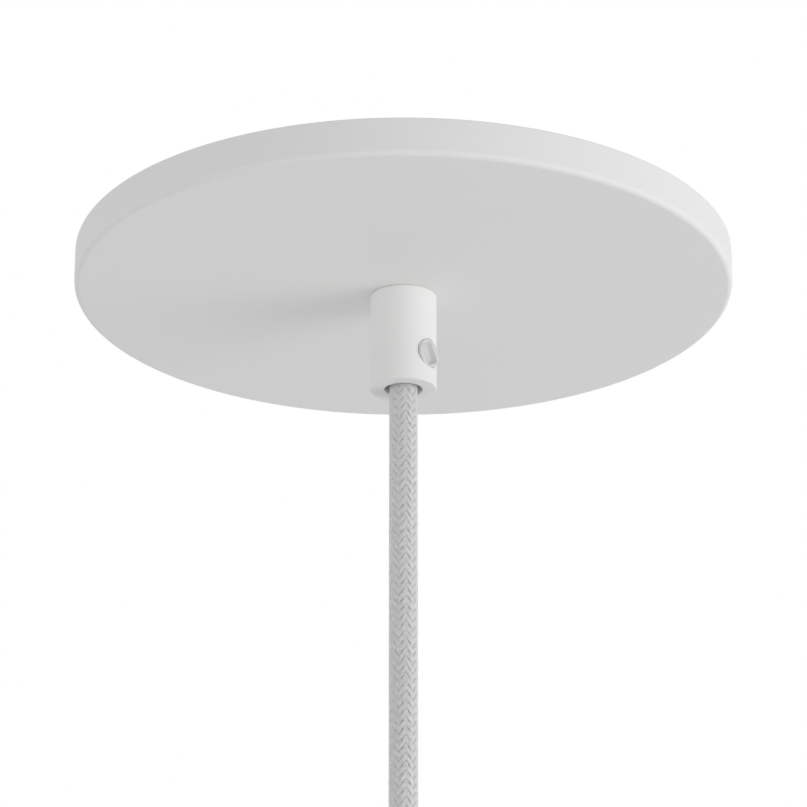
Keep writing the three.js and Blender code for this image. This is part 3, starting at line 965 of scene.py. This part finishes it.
class PiercedSleeve:
    """The cord grip, face at height 0 and cord end down, with the grub screw's round-edged hole."""

    def __init__(self):
        size = sizes()
        self.outer = size.grip_diameter / 2 / MM
        self.length = size.grip_length / MM
        self.bore = size.grip_bore / 2 / MM
        self.hole = size.screw_diameter / 2 / MM + SCREW_FIT
        self.middle = -size.screw_drop / MM
        self.centre_turn = size.screw_turn - QUARTER
        self.points = []
        self.faces = []

    def shape(self):
        outer_rings, outer_border = self.wall(*self.outer_rows(), OUTER_PATCH)
        bore_rings, bore_border = self.wall(*self.bore_rows(), BORE_PATCH, downward=True)
        self.faces += bands([outer_rings[-1], bore_rings[0]]) + bands([bore_rings[-1], outer_rings[0]])
        places = [self.flat_place(vertex, self.outer) for vertex in outer_border]
        self.turns = [math.atan2(height, around) for around, height in places]
        rings = [self.fill(outer_border, self.outer, self.hole + HOLE_RIM, OUTER_FILL_STEPS)]
        last = self.fill(bore_border, self.bore, self.hole, BORE_FILL_STEPS, flip=True)
        for part in range(1, HOLE_RIM_STEPS + 1):
            angle = QUARTER * part / HOLE_RIM_STEPS
            radius = self.hole + HOLE_RIM * (1 - math.sin(angle))
            depth = HOLE_RIM * (1 - math.cos(angle))
            rings.append(self.added(self.rim_point(radius, turn, depth) for turn in self.turns))
        self.faces += bands(rings + [last])
        return self.points, self.faces

    def added(self, points):
        """Adds the points and returns their numbers."""
        start = len(self.points)
        self.points.extend(points)
        return list(range(start, len(self.points)))

    def patch_rows(self):
        return [self.middle - PATCH_REACH + 2 * PATCH_REACH * cell / CELLS for cell in range(CELLS + 1)]

    def outer_rows(self):
        """Points up the outer wall, and the number of the first one in the patch."""
        below = arc(self.outer - 0.24, -self.length + 0.24, 0.24, -90, 0, 6)
        below += [(self.outer, -self.length + 0.6)]
        patch = [(self.outer, height) for height in self.patch_rows()]
        above = [(self.outer, -6), (self.outer, -0.5)] + arc(self.outer - 0.3, -0.3, 0.3, 0, 90, 6)
        return below + patch + above, len(below)

    def bore_rows(self):
        """Points down the threaded hole and the bore, and the number of the first one in the patch."""
        above = [(NIPPLE_HOLE + 0.4, 0), (NIPPLE_HOLE, -0.4)]
        above += [(NIPPLE_HOLE, -TAP_DEPTH), (self.bore, -TAP_DEPTH)]
        patch = [(self.bore, height) for height in reversed(self.patch_rows())]
        below = [(self.bore, -self.length + 0.4)] + arc(self.bore + 0.2, -self.length + 0.2, 0.2, 180, 270, 4)
        return above + patch + below, len(above)

    def wall(self, rows, first, half, downward=False):
        """Adds a turned wall with its patch left open. Returns its rings and the patch's border."""
        others = COLUMNS - CELLS
        angles = [-half + 2 * half * cell / CELLS for cell in range(CELLS)]
        angles += [half + (TURN - 2 * half) * cell / others for cell in range(others)]
        angles = [self.centre_turn + angle for angle in angles]
        rings = [self.added(ring_at(radius, height, angles)) for radius, height in rows]
        for row, pair in enumerate(zip(rings, rings[1:])):
            in_patch = first <= row < first + CELLS
            self.faces += bands(pair)[CELLS if in_patch else 0:]
        patch = rings[first:first + CELLS + 1]
        if downward:
            patch.reverse()
        border = patch[0][:CELLS] + [ring[CELLS] for ring in patch[:-1]]
        border += patch[-1][CELLS:0:-1] + [ring[0] for ring in patch[:0:-1]]
        return rings, border

    def flat_place(self, vertex, radius):
        """A wall point's distance round the wall and up it, from the hole's middle."""
        x, y, z = self.points[vertex]
        angle = math.atan2(y, x) - self.centre_turn
        return radius * ((angle + math.pi) % TURN - math.pi), z - self.middle

    def fill(self, border, radius, hole_radius, steps, flip=False):
        """Fills a patch from its border in to the hole. Returns the ring round the hole."""
        rings = [border]
        for part in range(1, steps + 1):
            share = (part / steps) ** FILL_EASE
            ring = []
            for vertex, turn in zip(border, self.turns):
                far = self.flat_place(vertex, radius)
                aside = radius * math.asin(hole_radius * math.cos(turn) / radius)
                near = (aside, hole_radius * math.sin(turn))
                around, height = (start + (end - start) * share for start, end in zip(far, near))
                ring += ring_at(radius, self.middle + height, [self.centre_turn + around / radius])
            rings.append(self.added(ring))
        faces = bands(rings)
        self.faces += [face[::-1] for face in faces] if flip else faces
        return rings[-1]

    def rim_point(self, hole_radius, turn, depth):
        """A point of the hole's wall, at a depth below the outer wall."""
        aside = hole_radius * math.cos(turn)
        ahead = math.sqrt(self.outer * self.outer - aside * aside) - depth
        ahead_way = Vector((math.cos(self.centre_turn), math.sin(self.centre_turn), 0))
        aside_way = Vector((-ahead_way.y, ahead_way.x, 0))
        height = self.middle + hole_radius * math.sin(turn)
        return tuple(ahead_way * ahead + aside_way * aside + UP * height)


def canopy_drop():
    return shifted(z=grip_face())


def lamp_turn():
    """Turns a piece of the upper grip over, about the lamp grip's face."""
    return shifted(z=lamp_grip_face()) @ turned(math.pi, "Y")


class CANOPY_OT_grips(bpy.types.Operator):
    """Makes the two turned cord grips"""

    bl_idname = "canopy.grips"
    bl_label = "Cord grips"

    def execute(self, context):
        sleeve = PiercedSleeve().shape()
        for name, node, matrix in (
                ("upper_cord_grip", "cord_grip_body", canopy_drop()),
                ("lamp_cord_grip", "lamp_grip_body", lamp_turn())):
            piece = make_piece(name, moved(sleeve, matrix), "white_paint")
            weld(piece.data)
            smooth(piece.data, GRIP_SHARP_DEGREES)
            place(piece, "white_paint", node)
        return {"FINISHED"}


# Grub screws. The recess is given as its depth, half width and half length

SCREW_TIP = 3.5
SCREW_SUNK = 0.1
SCREW_SIDES = 72
RECESS_RINGS = ((1.15, 1.6, 2.2), (1, 1.75, 2.35), (0, 1.95, 2.55), (-0.4, 2, 2.6))
RECESS_CORNER = 0.9
RECESS_TILT = math.radians(28)
RECESS_BEVEL = 0.12
RECESS_REACH = 3
RECESS_FLOOR = 1.6


def screw_front():
    return sizes().grip_diameter / 2 / MM - SCREW_SUNK


def screw_blank():
    """The clear screw along +Z, with its tip just clear of the cord."""
    radius = sizes().screw_diameter / 2 / MM
    front = screw_front()
    outline = [(0, SCREW_TIP), (1.7, SCREW_TIP), (1.9, SCREW_TIP + 0.2), (1.9, SCREW_TIP + 0.8)]
    outline += [(radius - 0.4, SCREW_TIP + 0.9), (radius, SCREW_TIP + 1.2)]
    outline += [(radius, height) for height in heights_between(SCREW_TIP + 1.3, front - 0.75, 0.1)]
    outline += [(radius, front - 0.5)] + arc(radius - 0.25, front - 0.25, 0.25, 0, 90, 6)
    outline += [(radius - 0.5, front), (1, front), (0, front)]
    return lathe(outline, SCREW_SIDES)


def screw_recess():
    """The oblong driver recess, wider at its mouth."""
    points = []
    for depth, half_x, half_y in RECESS_RINGS:
        outline = rounded_points(half_x, half_y, RECESS_CORNER)
        points += [(x, y, screw_front() - depth) for x, y in outline]
    return moved(capped(points, len(outline)), turned(RECESS_TILT, "Z"))


def soften_recess(mesh):
    """Rounds the recess's mouth and floor edges."""
    floor = (screw_front() - RECESS_FLOOR) * MM
    with edited(mesh) as shape:
        bmesh.ops.remove_doubles(shape, verts=shape.verts, dist=1e-7)
        edges = [
            edge for edge in shape.edges
            if len(edge.link_faces) == 2 and edge.calc_face_angle(0) >= math.radians(CORNER_DEGREES)
            and all(math.hypot(v.co.x, v.co.y) < RECESS_REACH * MM and v.co.z > floor for v in edge.verts)]
        bmesh.ops.bevel(shape, geom=edges, offset=RECESS_BEVEL * MM, segments=2, profile=0.5, affect="EDGES")


class CANOPY_OT_screws(bpy.types.Operator):
    """Makes the clear grub screws"""

    bl_idname = "canopy.screws"
    bl_label = "Clear grub screws"

    def execute(self, context):
        size = sizes()
        laid = shifted(z=-size.screw_drop / MM) @ turned(size.screw_turn, "Z") @ turned(QUARTER, "X")
        for name, node, matrix in (
                ("upper_grub_screw", "cord_grip_screw", canopy_drop()),
                ("lamp_grub_screw", "lamp_grip_screw", lamp_turn())):
            piece = make_piece(name, screw_blank(), "clear_plastic")
            cut_thread(piece, size.screw_diameter / 2 / MM, SCREW_TIP + 1.2, screw_front() - 0.7)
            carve(piece, "clear_plastic", screw_recess())
            soften_recess(piece.data)
            shift = matrix @ laid
            shift.translation = shift.translation * MM
            piece.data.transform(shift)
            smooth(piece.data, CORNER_DEGREES)
            place(piece, "clear_plastic", node)
        return {"FINISHED"}


# Ceiling hardware

SLOT_X = 38
SLOT_HALF_LENGTH = 10
SLOT_HALF_WIDTH = 2.5
BAR_CORNER = 4
BAR_EDGE = 0.22
NUT_SIDES = 72
NUT_EDGE = 0.06
TEETH_RADIUS = 0.0072
LOCK_WASHER_RIM = 6.9


def threaded_tube(name, bottom, top, node):
    """A hollow M10 nipple between two heights in millimetres."""
    bore_edge = NIPPLE_BORE + BROKEN_EDGE
    outline = [(bore_edge, bottom), (NIPPLE_RADIUS - 0.5, bottom), (NIPPLE_RADIUS, bottom + 0.4)]
    outline += [(NIPPLE_RADIUS, height) for height in heights_between(bottom + 0.5, top - 0.45, 0.125)]
    outline += [(NIPPLE_RADIUS, top - 0.4), (NIPPLE_RADIUS - 0.5, top), (bore_edge, top)]
    outline += [(NIPPLE_BORE, top - BROKEN_EDGE), (NIPPLE_BORE, bottom + BROKEN_EDGE)]
    piece = make_piece(name, lathe(outline, 96), "zinc_steel")
    cut_thread(piece, NIPPLE_RADIUS, bottom + 0.4, top - 0.4, run_out=0.5)
    return place(piece, "zinc_steel", node)


def lock_nut(name, bottom, top, node):
    """A hexagonal nut with both faces' corners turned off."""
    angles = [TURN * side / NUT_SIDES for side in range(NUT_SIDES)]
    flats = [NUT_FLAT / math.cos((angle + math.pi / 6) % (math.pi / 3) - math.pi / 6) for angle in angles]
    flat_circle = NUT_FLAT - 0.25

    def face_rings(height, slope):
        """From the bore's edge out to the flats, as (radius, height) all the way round."""
        def at(radius, edge=0):
            drop = max(0, radius - flat_circle) * math.tan(math.radians(30))
            return radius, height + slope * drop + slope * edge
        return [
            [at(NIPPLE_HOLE + 0.4)] * NUT_SIDES, [at(flat_circle)] * NUT_SIDES,
            [at(radius - NUT_EDGE) for radius in flats], [at(radius, NUT_EDGE) for radius in flats]]

    rings = face_rings(bottom, 1) + face_rings(top, -1)[::-1]
    rings += [[(NIPPLE_HOLE, height)] * NUT_SIDES for height in (top - 0.4, bottom + 0.4)]
    points = []
    for ring in rings:
        for (radius, height), angle in zip(ring, angles):
            points += ring_at(radius, height, [angle])
    numbers = numbered_rings(points, NUT_SIDES)
    return add_piece(name, (points, bands(numbers + numbers[:1])), "zinc_steel", node, sharp_degrees=20)


class CANOPY_OT_ceiling_hardware(bpy.types.Operator):
    """Makes the crossbar, nipple, lock washer, lock nut and bushing"""

    bl_idname = "canopy.ceiling_hardware"
    bl_label = "Crossbar and nipple"

    def execute(self, context):
        self.crossbar()
        threaded_tube("hollow_nipple", grip_face() - NIPPLE_IN_GRIP, NIPPLE_TOP, "nipple")
        washer_bottom = BAR_UNDERSIDE - WASHER_HEIGHT
        self.lock_washer(washer_bottom)
        lock_nut("lock_nut", washer_bottom - NUT_HEIGHT, washer_bottom, "nipple_lock_nut")
        self.bushing()
        return {"FINISHED"}

    def crossbar(self):
        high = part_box("crossbar")[1]
        outlines = [rounded_points(high.x / MM, high.y / MM, BAR_CORNER), circle_points(0, NIPPLE_HOLE, 64)]
        slot = rounded_points(SLOT_HALF_LENGTH, SLOT_HALF_WIDTH, SLOT_HALF_WIDTH - 0.001, 10)
        for side in (-1, 1):
            outlines.append(circle_points(side * EARTH_X, EARTH_HOLE, 32))
            outlines.append([(x + side * SLOT_X, y) for x, y in slot])
        bar = stamped_plate("ceiling_crossbar", outlines, BAR_UNDERSIDE, 0, BAR_EDGE, "zinc_steel")
        place(bar, "zinc_steel", "crossbar")

    def lock_washer(self, bottom):
        low = bottom + BROKEN_EDGE
        high = BAR_UNDERSIDE - BROKEN_EDGE
        flat = [(NIPPLE_HOLE, low), (LOCK_WASHER_RIM, low), (LOCK_WASHER_RIM, high), (NIPPLE_HOLE, high)]
        washer = make_piece("lock_washer", lathe(flat, 64), "zinc_steel")
        run_tree(washer, teeth_tree(), {"Radius": TEETH_RADIUS, "Height": (bottom + BAR_UNDERSIDE) / 2 * MM})
        place(washer, "zinc_steel", "nipple_lock_washer")

    def bushing(self):
        outer = NIPPLE_HOLE + 0.9
        bore = 3.5
        foot = NIPPLE_TOP - 3.2
        top = NIPPLE_TOP + 1
        outline = [(NIPPLE_HOLE + 0.1, foot), (outer - BROKEN_EDGE, foot), (outer, foot + BROKEN_EDGE)]
        outline += arc(outer - 0.5, top - 0.5, 0.5, 0, 90, 6)
        outline += arc(bore + 0.5, top - 0.5, 0.5, 90, 180, 6)
        outline += [(bore, NIPPLE_TOP), (NIPPLE_HOLE, NIPPLE_TOP), (NIPPLE_HOLE, foot + 0.1)]
        add_piece("wire_bushing", lathe(outline, 64), "black_plastic", "nipple_bushing")


# Earth connection

RING_THICKNESS = 0.8
BARREL_RADIUS = 1.8
EARTH_THREAD_RADIUS = 2
CUP_HEIGHT = 0.8
SCREW_HEAD_HEIGHT = 2.4
DRIVER_SLOT_DEPTH = 1.2
DRIVER_SLOT_SHARE = 0.137


class CANOPY_OT_earth(bpy.types.Operator):
    """Makes the earth ring terminal, cup washer and screw"""

    bl_idname = "canopy.earth"
    bl_label = "Earth connection"

    def execute(self, context):
        bottom = BAR_UNDERSIDE - RING_THICKNESS
        self.ring_terminal(bottom)
        foot = bottom - CUP_HEIGHT
        cup = [(EARTH_HOLE, foot), (3.9, foot), (4.2, bottom - 0.55), (4.2, bottom), (3.7, bottom)]
        cup += [(3.5, bottom - CLEARANCE), (EARTH_HOLE, bottom - CLEARANCE)]
        add_piece("cup_washer", moved(lathe(cup, 56), shifted(EARTH_X)), "brass", "earth_cup_washer")
        self.screw(foot)
        return {"FINISHED"}

    def ring_terminal(self, bottom):
        top = BAR_UNDERSIDE
        outline = arc(0, 0, 4, -60, 240, 50) + [(-1.5, -4.4), (-1.5, -7.5), (1.5, -7.5), (1.5, -4.4)]
        eye = stamped_plate(
            "ring_terminal", [outline, circle_points(0, EARTH_HOLE, 36)], bottom, top, 0.12, "tinned_copper")
        profile = [(1.15, 0), (1.65, 0), (1.8, 0.15), (1.8, 1.2), (1.5, 1.6), (1.5, 2.6), (1.8, 3), (1.8, 4)]
        profile += [(1.5, 4.4), (1.5, 5.4), (1.8, 5.8), (1.8, 6.85), (1.65, 7), (1.15, 7)]
        laid = shifted(0, -6.5, top - CLEARANCE - BARREL_RADIUS) @ turned(QUARTER, "X")
        barrel = make_piece("barrel", moved(lathe(profile, 40), laid), "tinned_copper")
        with edited(eye.data) as shape:
            shape.from_mesh(barrel.data)
        bpy.data.objects.remove(barrel)
        eye.data.transform(shifted(EARTH_X * MM))
        smooth(eye.data)
        place(eye, "tinned_copper", "earth_ring_terminal")

    def screw(self, head_top):
        foot = head_top - SCREW_HEAD_HEIGHT
        outline = [(0, foot), (2.4, foot)] + arc(2.8, foot + 1, 1, -90, 0, 6)
        thread = EARTH_THREAD_RADIUS
        outline += [(3.8, head_top - 0.1), (3.7, head_top), (thread, head_top)]
        outline += [(thread, height) for height in heights_between(head_top + 0.1, 1.5, 0.1)]
        outline += [(thread, 1.6), (thread - 0.4, 2), (0, 2)]
        piece = make_piece("earth_binding_screw", lathe(outline, 56), "brass")
        cut_thread(piece, thread, head_top, 1.6, pitch=0.7, depth=0.35, run_out=0.3)
        block = lathe([(0, -2), (5.7, -2), (5.7, 0), (0, 0)], 4)
        narrow = Matrix.Diagonal((1, DRIVER_SLOT_SHARE, 1, 1)) @ turned(math.pi / 4, "Z")
        carve(piece, "brass", moved(block, shifted(z=foot + DRIVER_SLOT_DEPTH) @ narrow))
        piece.data.transform(shifted(EARTH_X * MM))
        place(piece, "brass", "earth_screw")


# Terminal block

POLE_X = 4
PORT_LEVEL = 2.9
BLOCK_FRONT = 27
FRONT_PORT_RADIUS = 1.05
BACK_PORT_RADIUS = 1.45
PORT_FLARE = 0.85


def block_floor():
    return (sizes().pan_sheet - sizes().pan_depth) / MM


def port(radius):
    """The hollow of a wire's port, mouth up."""
    mouth = radius + PORT_FLARE
    return lathe([(0, -4), (radius, -4), (radius, -1.2), (mouth, 0.2), (mouth, 1), (0, 1)], 32)


class CANOPY_OT_terminal(bpy.types.Operator):
    """Makes the push-in terminal block"""

    bl_idname = "canopy.terminal"
    bl_label = "Terminal block"

    def execute(self, context):
        low, high = (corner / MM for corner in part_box("terminal_housing"))
        body = make_piece("terminal_block", box_shape(low, high), "white_plastic")
        round_edges(body, 0.7, segments=3)
        groove = box_shape((-0.35, low.y - 1, high.z - 0.7), (0.35, high.y + 1, high.z + 1))
        carve(body, "white_plastic", groove)
        level = (low.z + high.z) / 2
        to_front = turned(QUARTER, "X")
        levers = []
        for x in (-POLE_X, POLE_X):
            front = moved(port(FRONT_PORT_RADIUS), shifted(x, low.y, level) @ to_front)
            back = moved(port(BACK_PORT_RADIUS), shifted(x, high.y, level) @ turned(math.pi, "Z") @ to_front)
            well = box_shape((x - 1, high.y - 7, high.z - 1.6), (x + 1, high.y - 3, high.z + 1))
            carve(body, "white_plastic", front, back, well)
            levers.append(box_shape(
                (x - 0.85, high.y - 6.8, high.z - 1.5), (x + 0.85, high.y - 3.2, high.z - 0.5)))
        place(body, "white_plastic", "terminal_housing")
        piece = make_piece("release_levers", joined(*levers), "white_plastic")
        round_edges(piece, 0.2)
        place(piece, "white_plastic")
        for node in ("terminal_busbar_neutral", "terminal_busbar_live"):
            coat(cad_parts[node].data, "tinned_copper")
        return {"FINISHED"}


# Cores, routed as in the part's source

CORE_LOOP_RISE = 9
CORE_LOOP_RADIUS = 6
CORE_DROP_RADIUS = 5.5
BAR_HALF_WIDTH = 10
CORE_BESIDE_BAR = 2.6
CORE_SIDES = 20
CORE_STEP = 0.7
CORE_END_SHARE = 0.88
STRIPE_TURN = 0.5
STRIPE_EDGE = 0.62
EARTH_DROP_Y = -21
COLLAR_LENGTH = 5
CORE_IN_COLLAR = 0.7
RING_BARREL_END = -13.5
TAIL_SPREAD = 5.5
TAIL_STRAIGHT = 0.3
TAIL_LENGTH = 27
COLOURS = {"neutral": "blue_insulation", "live": "brown_insulation", "earth": "earth_insulation"}
POLES = {"neutral": 1, "live": -1}


def core_place(index):
    """Where a core lies beside the others inside the cord."""
    ring = (cord_sizes().core_diameter / MM + CLEARANCE) / math.sqrt(3)
    angle = math.pi / 6 + index * TURN / 3
    return Vector((ring * math.cos(angle), ring * math.sin(angle), 0))


def quarter_turn(centre, radius, start, end):
    angles = [part * math.pi / 8 for part in range(5)]
    return [centre + (start * math.cos(a) + end * math.sin(a)) * radius for a in angles]


def core_route(index, drop_x, drop_y, level, end_y):
    """Out of the nipple, over to the drop, down past the crossbar and level to its fitting."""
    top = CORD_HEIGHTS[0]
    start = core_place(index)
    drop = Vector((drop_x, drop_y, 0))
    ahead = Vector((0, 1, 0))
    across = (drop - start).normalized()
    rise_top = start + UP * CORE_LOOP_RISE
    drop_top = drop + UP * CORE_LOOP_RISE
    drop_end = drop + UP * (level + CORE_DROP_RADIUS)
    return [
        start + UP * (top + CLEARANCE),
        start + UP * ((top + CORE_LOOP_RISE) / 2),
        *quarter_turn(rise_top + across * CORE_LOOP_RADIUS, CORE_LOOP_RADIUS, -across, UP),
        *quarter_turn(drop_top - across * CORE_LOOP_RADIUS, CORE_LOOP_RADIUS, UP, across),
        *quarter_turn(drop_end + ahead * CORE_DROP_RADIUS, CORE_DROP_RADIUS, -ahead, -UP),
        Vector((drop_x, end_y, level)),
    ]


def upper_route(index, name):
    if name == "earth":
        level = BAR_UNDERSIDE - CLEARANCE - BARREL_RADIUS
        return core_route(index, EARTH_X, EARTH_DROP_Y, level, RING_BARREL_END - CLEARANCE)
    level = block_floor() + PORT_LEVEL
    end_y = BLOCK_FRONT - CLEARANCE - COLLAR_LENGTH + CORE_IN_COLLAR
    return core_route(index, POLES[name] * POLE_X, BAR_HALF_WIDTH + CORE_BESIDE_BAR, level, end_y)


def tail_route(index):
    """Down out of the cord, straight at first and then spreading."""
    place_in_cord = core_place(index)
    outward = place_in_cord.normalized()
    points = []
    for share in (0, 0.25, 0.45, 0.65, 0.85, 1):
        eased = min(max((share - TAIL_STRAIGHT) / (1 - TAIL_STRAIGHT), 0), 1)
        spread = TAIL_SPREAD * eased * eased * (3 - 2 * eased)
        height = CORD_HEIGHTS[-1] - CLEARANCE - TAIL_LENGTH * share
        points.append(place_in_cord + UP * height + outward * spread)
    return points


def blend(first, second, at, low, high):
    return first.lerp(second, (at - low) / (high - low))


def curve_through(points, step_length):
    """A centripetal Catmull-Rom curve through the points, sampled about evenly."""
    padded = [points[0] * 2 - points[1], *points, points[-1] * 2 - points[-2]]
    line = []
    for four in zip(padded, padded[1:], padded[2:], padded[3:]):
        gaps = [math.sqrt(max((b - a).length, 1e-4)) for a, b in zip(four, four[1:])]
        knots = [0, gaps[0], gaps[0] + gaps[1], sum(gaps)]
        count = max(1, math.ceil((four[2] - four[1]).length / step_length))
        for part in range(count):
            at = knots[1] + (knots[2] - knots[1]) * part / count
            near = [blend(four[i], four[i + 1], at, knots[i], knots[i + 1]) for i in range(3)]
            wide = [blend(near[i], near[i + 1], at, knots[i], knots[i + 2]) for i in range(2)]
            line.append(blend(*wide, at, knots[1], knots[2]))
    line.append(points[-1])
    return line


def core_tube(name, points, slot, node):
    """A round insulated core along the route, with the stripe's place kept on its points."""
    radius = cord_sizes().core_diameter / 2 / MM
    line = curve_through(points, CORE_STEP)
    last = len(line) - 1
    side_way = Vector((1, 0, 0))
    shape_points = []
    stripe = []
    for number, spot in enumerate(line):
        ahead = (line[min(number + 1, last)] - line[max(number - 1, 0)]).normalized()
        side_way = (side_way - ahead * side_way.dot(ahead)).normalized()
        other_way = ahead.cross(side_way)
        size = radius * (CORE_END_SHARE if number in (0, last) else 1)
        for side in range(CORE_SIDES):
            angle = TURN * side / CORE_SIDES
            aside = side_way * (size * math.cos(angle))
            shape_points.append(spot + aside + other_way * (size * math.sin(angle)))
            stripe.append(abs(math.cos(angle + STRIPE_TURN)) - STRIPE_EDGE)
    piece = make_piece(name, capped(shape_points, CORE_SIDES), slot)
    piece.data.attributes.new("stripe", "FLOAT", "POINT").data.foreach_set("value", stripe)
    return place(piece, slot, node)


def make_sleeve(name, matrix, slot, node):
    """A wire end sleeve's collar and pin. Before the matrix it lies along +Z with the wire's mouth at 0."""
    collar = [(1.15, 0.8), (1.3, 0), (1.5, 0), (1.5, 1.1), (1.32, 1.9), (1.32, 4.2), (0.72, COLLAR_LENGTH)]
    collar += [(0, COLLAR_LENGTH), (0, 0.8)]
    pin = [(0, 4.8), (0.66, 4.8)]
    for height in heights_between(5.3, 12.4, 0.8):
        pin += [(0.7, height), (0.6, height + 0.15), (0.6, height + 0.5), (0.7, height + 0.65)]
    pin += [(0.7, 12.85), (0.6, 13), (0, 13)]
    return [
        add_piece(name, moved(lathe(collar, 28), matrix), slot, node),
        add_piece(name + "_pin", moved(lathe(pin, 20), matrix), "tinned_copper")]


class CANOPY_OT_cores(bpy.types.Operator):
    """Makes the three cores inside the canopy, with their wire end sleeves"""

    bl_idname = "canopy.cores"
    bl_label = "Cores"

    def execute(self, context):
        for index, (name, slot) in enumerate(COLOURS.items()):
            core_tube("upper_core_" + name, upper_route(index, name), slot, "core_" + name)
        level = block_floor() + PORT_LEVEL
        for name, side in POLES.items():
            mouth = shifted(side * POLE_X, BLOCK_FRONT - CLEARANCE - COLLAR_LENGTH, level)
            make_sleeve(
                "upper_sleeve_" + name, mouth @ turned(-QUARTER, "X"), COLOURS[name], "core_sleeve_" + name)
        return {"FINISHED"}


class CANOPY_OT_lamp_end(bpy.types.Operator):
    bl_idname = "canopy.lamp_end"
    bl_label = "Lamp end"

    def execute(self, context):
        face = lamp_grip_face()
        nipple = threaded_tube("lamp_hollow_nipple", face - LAMP_STUB, face + NIPPLE_IN_GRIP, "lamp_nipple")
        bottom = face - LAMP_WASHER_HEIGHT
        washer = self.washer(bottom, face)
        nut = lock_nut("lamp_hex_nut", bottom - NUT_HEIGHT, bottom, "lamp_nut")
        carried = [nipple, washer, nut]
        carried += [bpy.data.objects[name] for name in ("lamp_cord_grip", "lamp_grub_screw")]
        for index, (name, slot) in enumerate(COLOURS.items()):
            carried += self.tail(index, name, slot)
        return {"FINISHED"}

    def washer(self, bottom, top):
        rim = 7.5
        outline = [(NIPPLE_HOLE + 0.1, bottom), (rim - BROKEN_EDGE, bottom), (rim, bottom + BROKEN_EDGE)]
        outline += [(rim, top - BROKEN_EDGE), (rim - BROKEN_EDGE, top)]
        outline += [(NIPPLE_HOLE + 0.1, top), (NIPPLE_HOLE, top - 0.1), (NIPPLE_HOLE, bottom + 0.1)]
        return add_piece("lamp_flat_washer", lathe(outline, 72), "zinc_steel", "lamp_washer")

    def tail(self, index, name, slot):
        """One core's tail and the sleeve on its end."""
        route = tail_route(index)
        heading = (route[-1] - route[-2]).normalized()
        mouth = route[-1] + heading * CLEARANCE
        route.append(mouth + heading * CORE_IN_COLLAR)
        tail = core_tube("lamp_tail_" + name, route, slot, "tail_" + name)
        matrix = Matrix.Translation(mouth) @ UP.rotation_difference(heading).to_matrix().to_4x4()
        return [tail, *make_sleeve("tail_end_" + name, matrix, slot, "tail_sleeve_" + name)]


class CANOPY_PT_panel(bpy.types.Panel):
    """Lists the sizes, finishes and steps of the canopy"""

    bl_idname = "CANOPY_PT_panel"
    bl_label = "Ceiling canopy"
    bl_space_type = "VIEW_3D"
    bl_region_type = "UI"
    bl_category = "Ceiling canopy"

    def draw(self, context):
        layout = self.layout
        for group in (sizes(), cord_sizes(), finishes()):
            column = layout.column(align=True)
            for name in group.__annotations__:
                column.prop(group, name)
        for operator in OPERATORS:
            layout.operator(operator.bl_idname)


OPERATORS = (
    CANOPY_OT_stage, CANOPY_OT_cord, CANOPY_OT_pan, CANOPY_OT_grips, CANOPY_OT_screws,
    CANOPY_OT_ceiling_hardware, CANOPY_OT_earth, CANOPY_OT_terminal, CANOPY_OT_cores, CANOPY_OT_lamp_end,
)
CLASSES = (CanopySizes, CordSizes, CanopyFinishes, *OPERATORS, CANOPY_PT_panel)


def register():
    for item in CLASSES:
        bpy.utils.register_class(item)
    bpy.types.Scene.canopy_sizes = bpy.props.PointerProperty(type=CanopySizes)
    bpy.types.Scene.canopy_cord = bpy.props.PointerProperty(type=CordSizes)
    bpy.types.Scene.canopy_finishes = bpy.props.PointerProperty(type=CanopyFinishes)


def unregister():
    del bpy.types.Scene.canopy_finishes
    del bpy.types.Scene.canopy_cord
    del bpy.types.Scene.canopy_sizes
    for item in reversed(CLASSES):
        bpy.utils.unregister_class(item)


def main():
    register()
    make_materials()
    bpy.ops.canopy.stage()
    bpy.ops.canopy.cord()
    bpy.ops.canopy.pan()
    bpy.ops.canopy.grips()
    bpy.ops.canopy.screws()
    bpy.ops.canopy.ceiling_hardware()
    bpy.ops.canopy.earth()
    bpy.ops.canopy.terminal()
    bpy.ops.canopy.cores()
    bpy.ops.canopy.lamp_end()


if __name__ == "__main__":
    main()
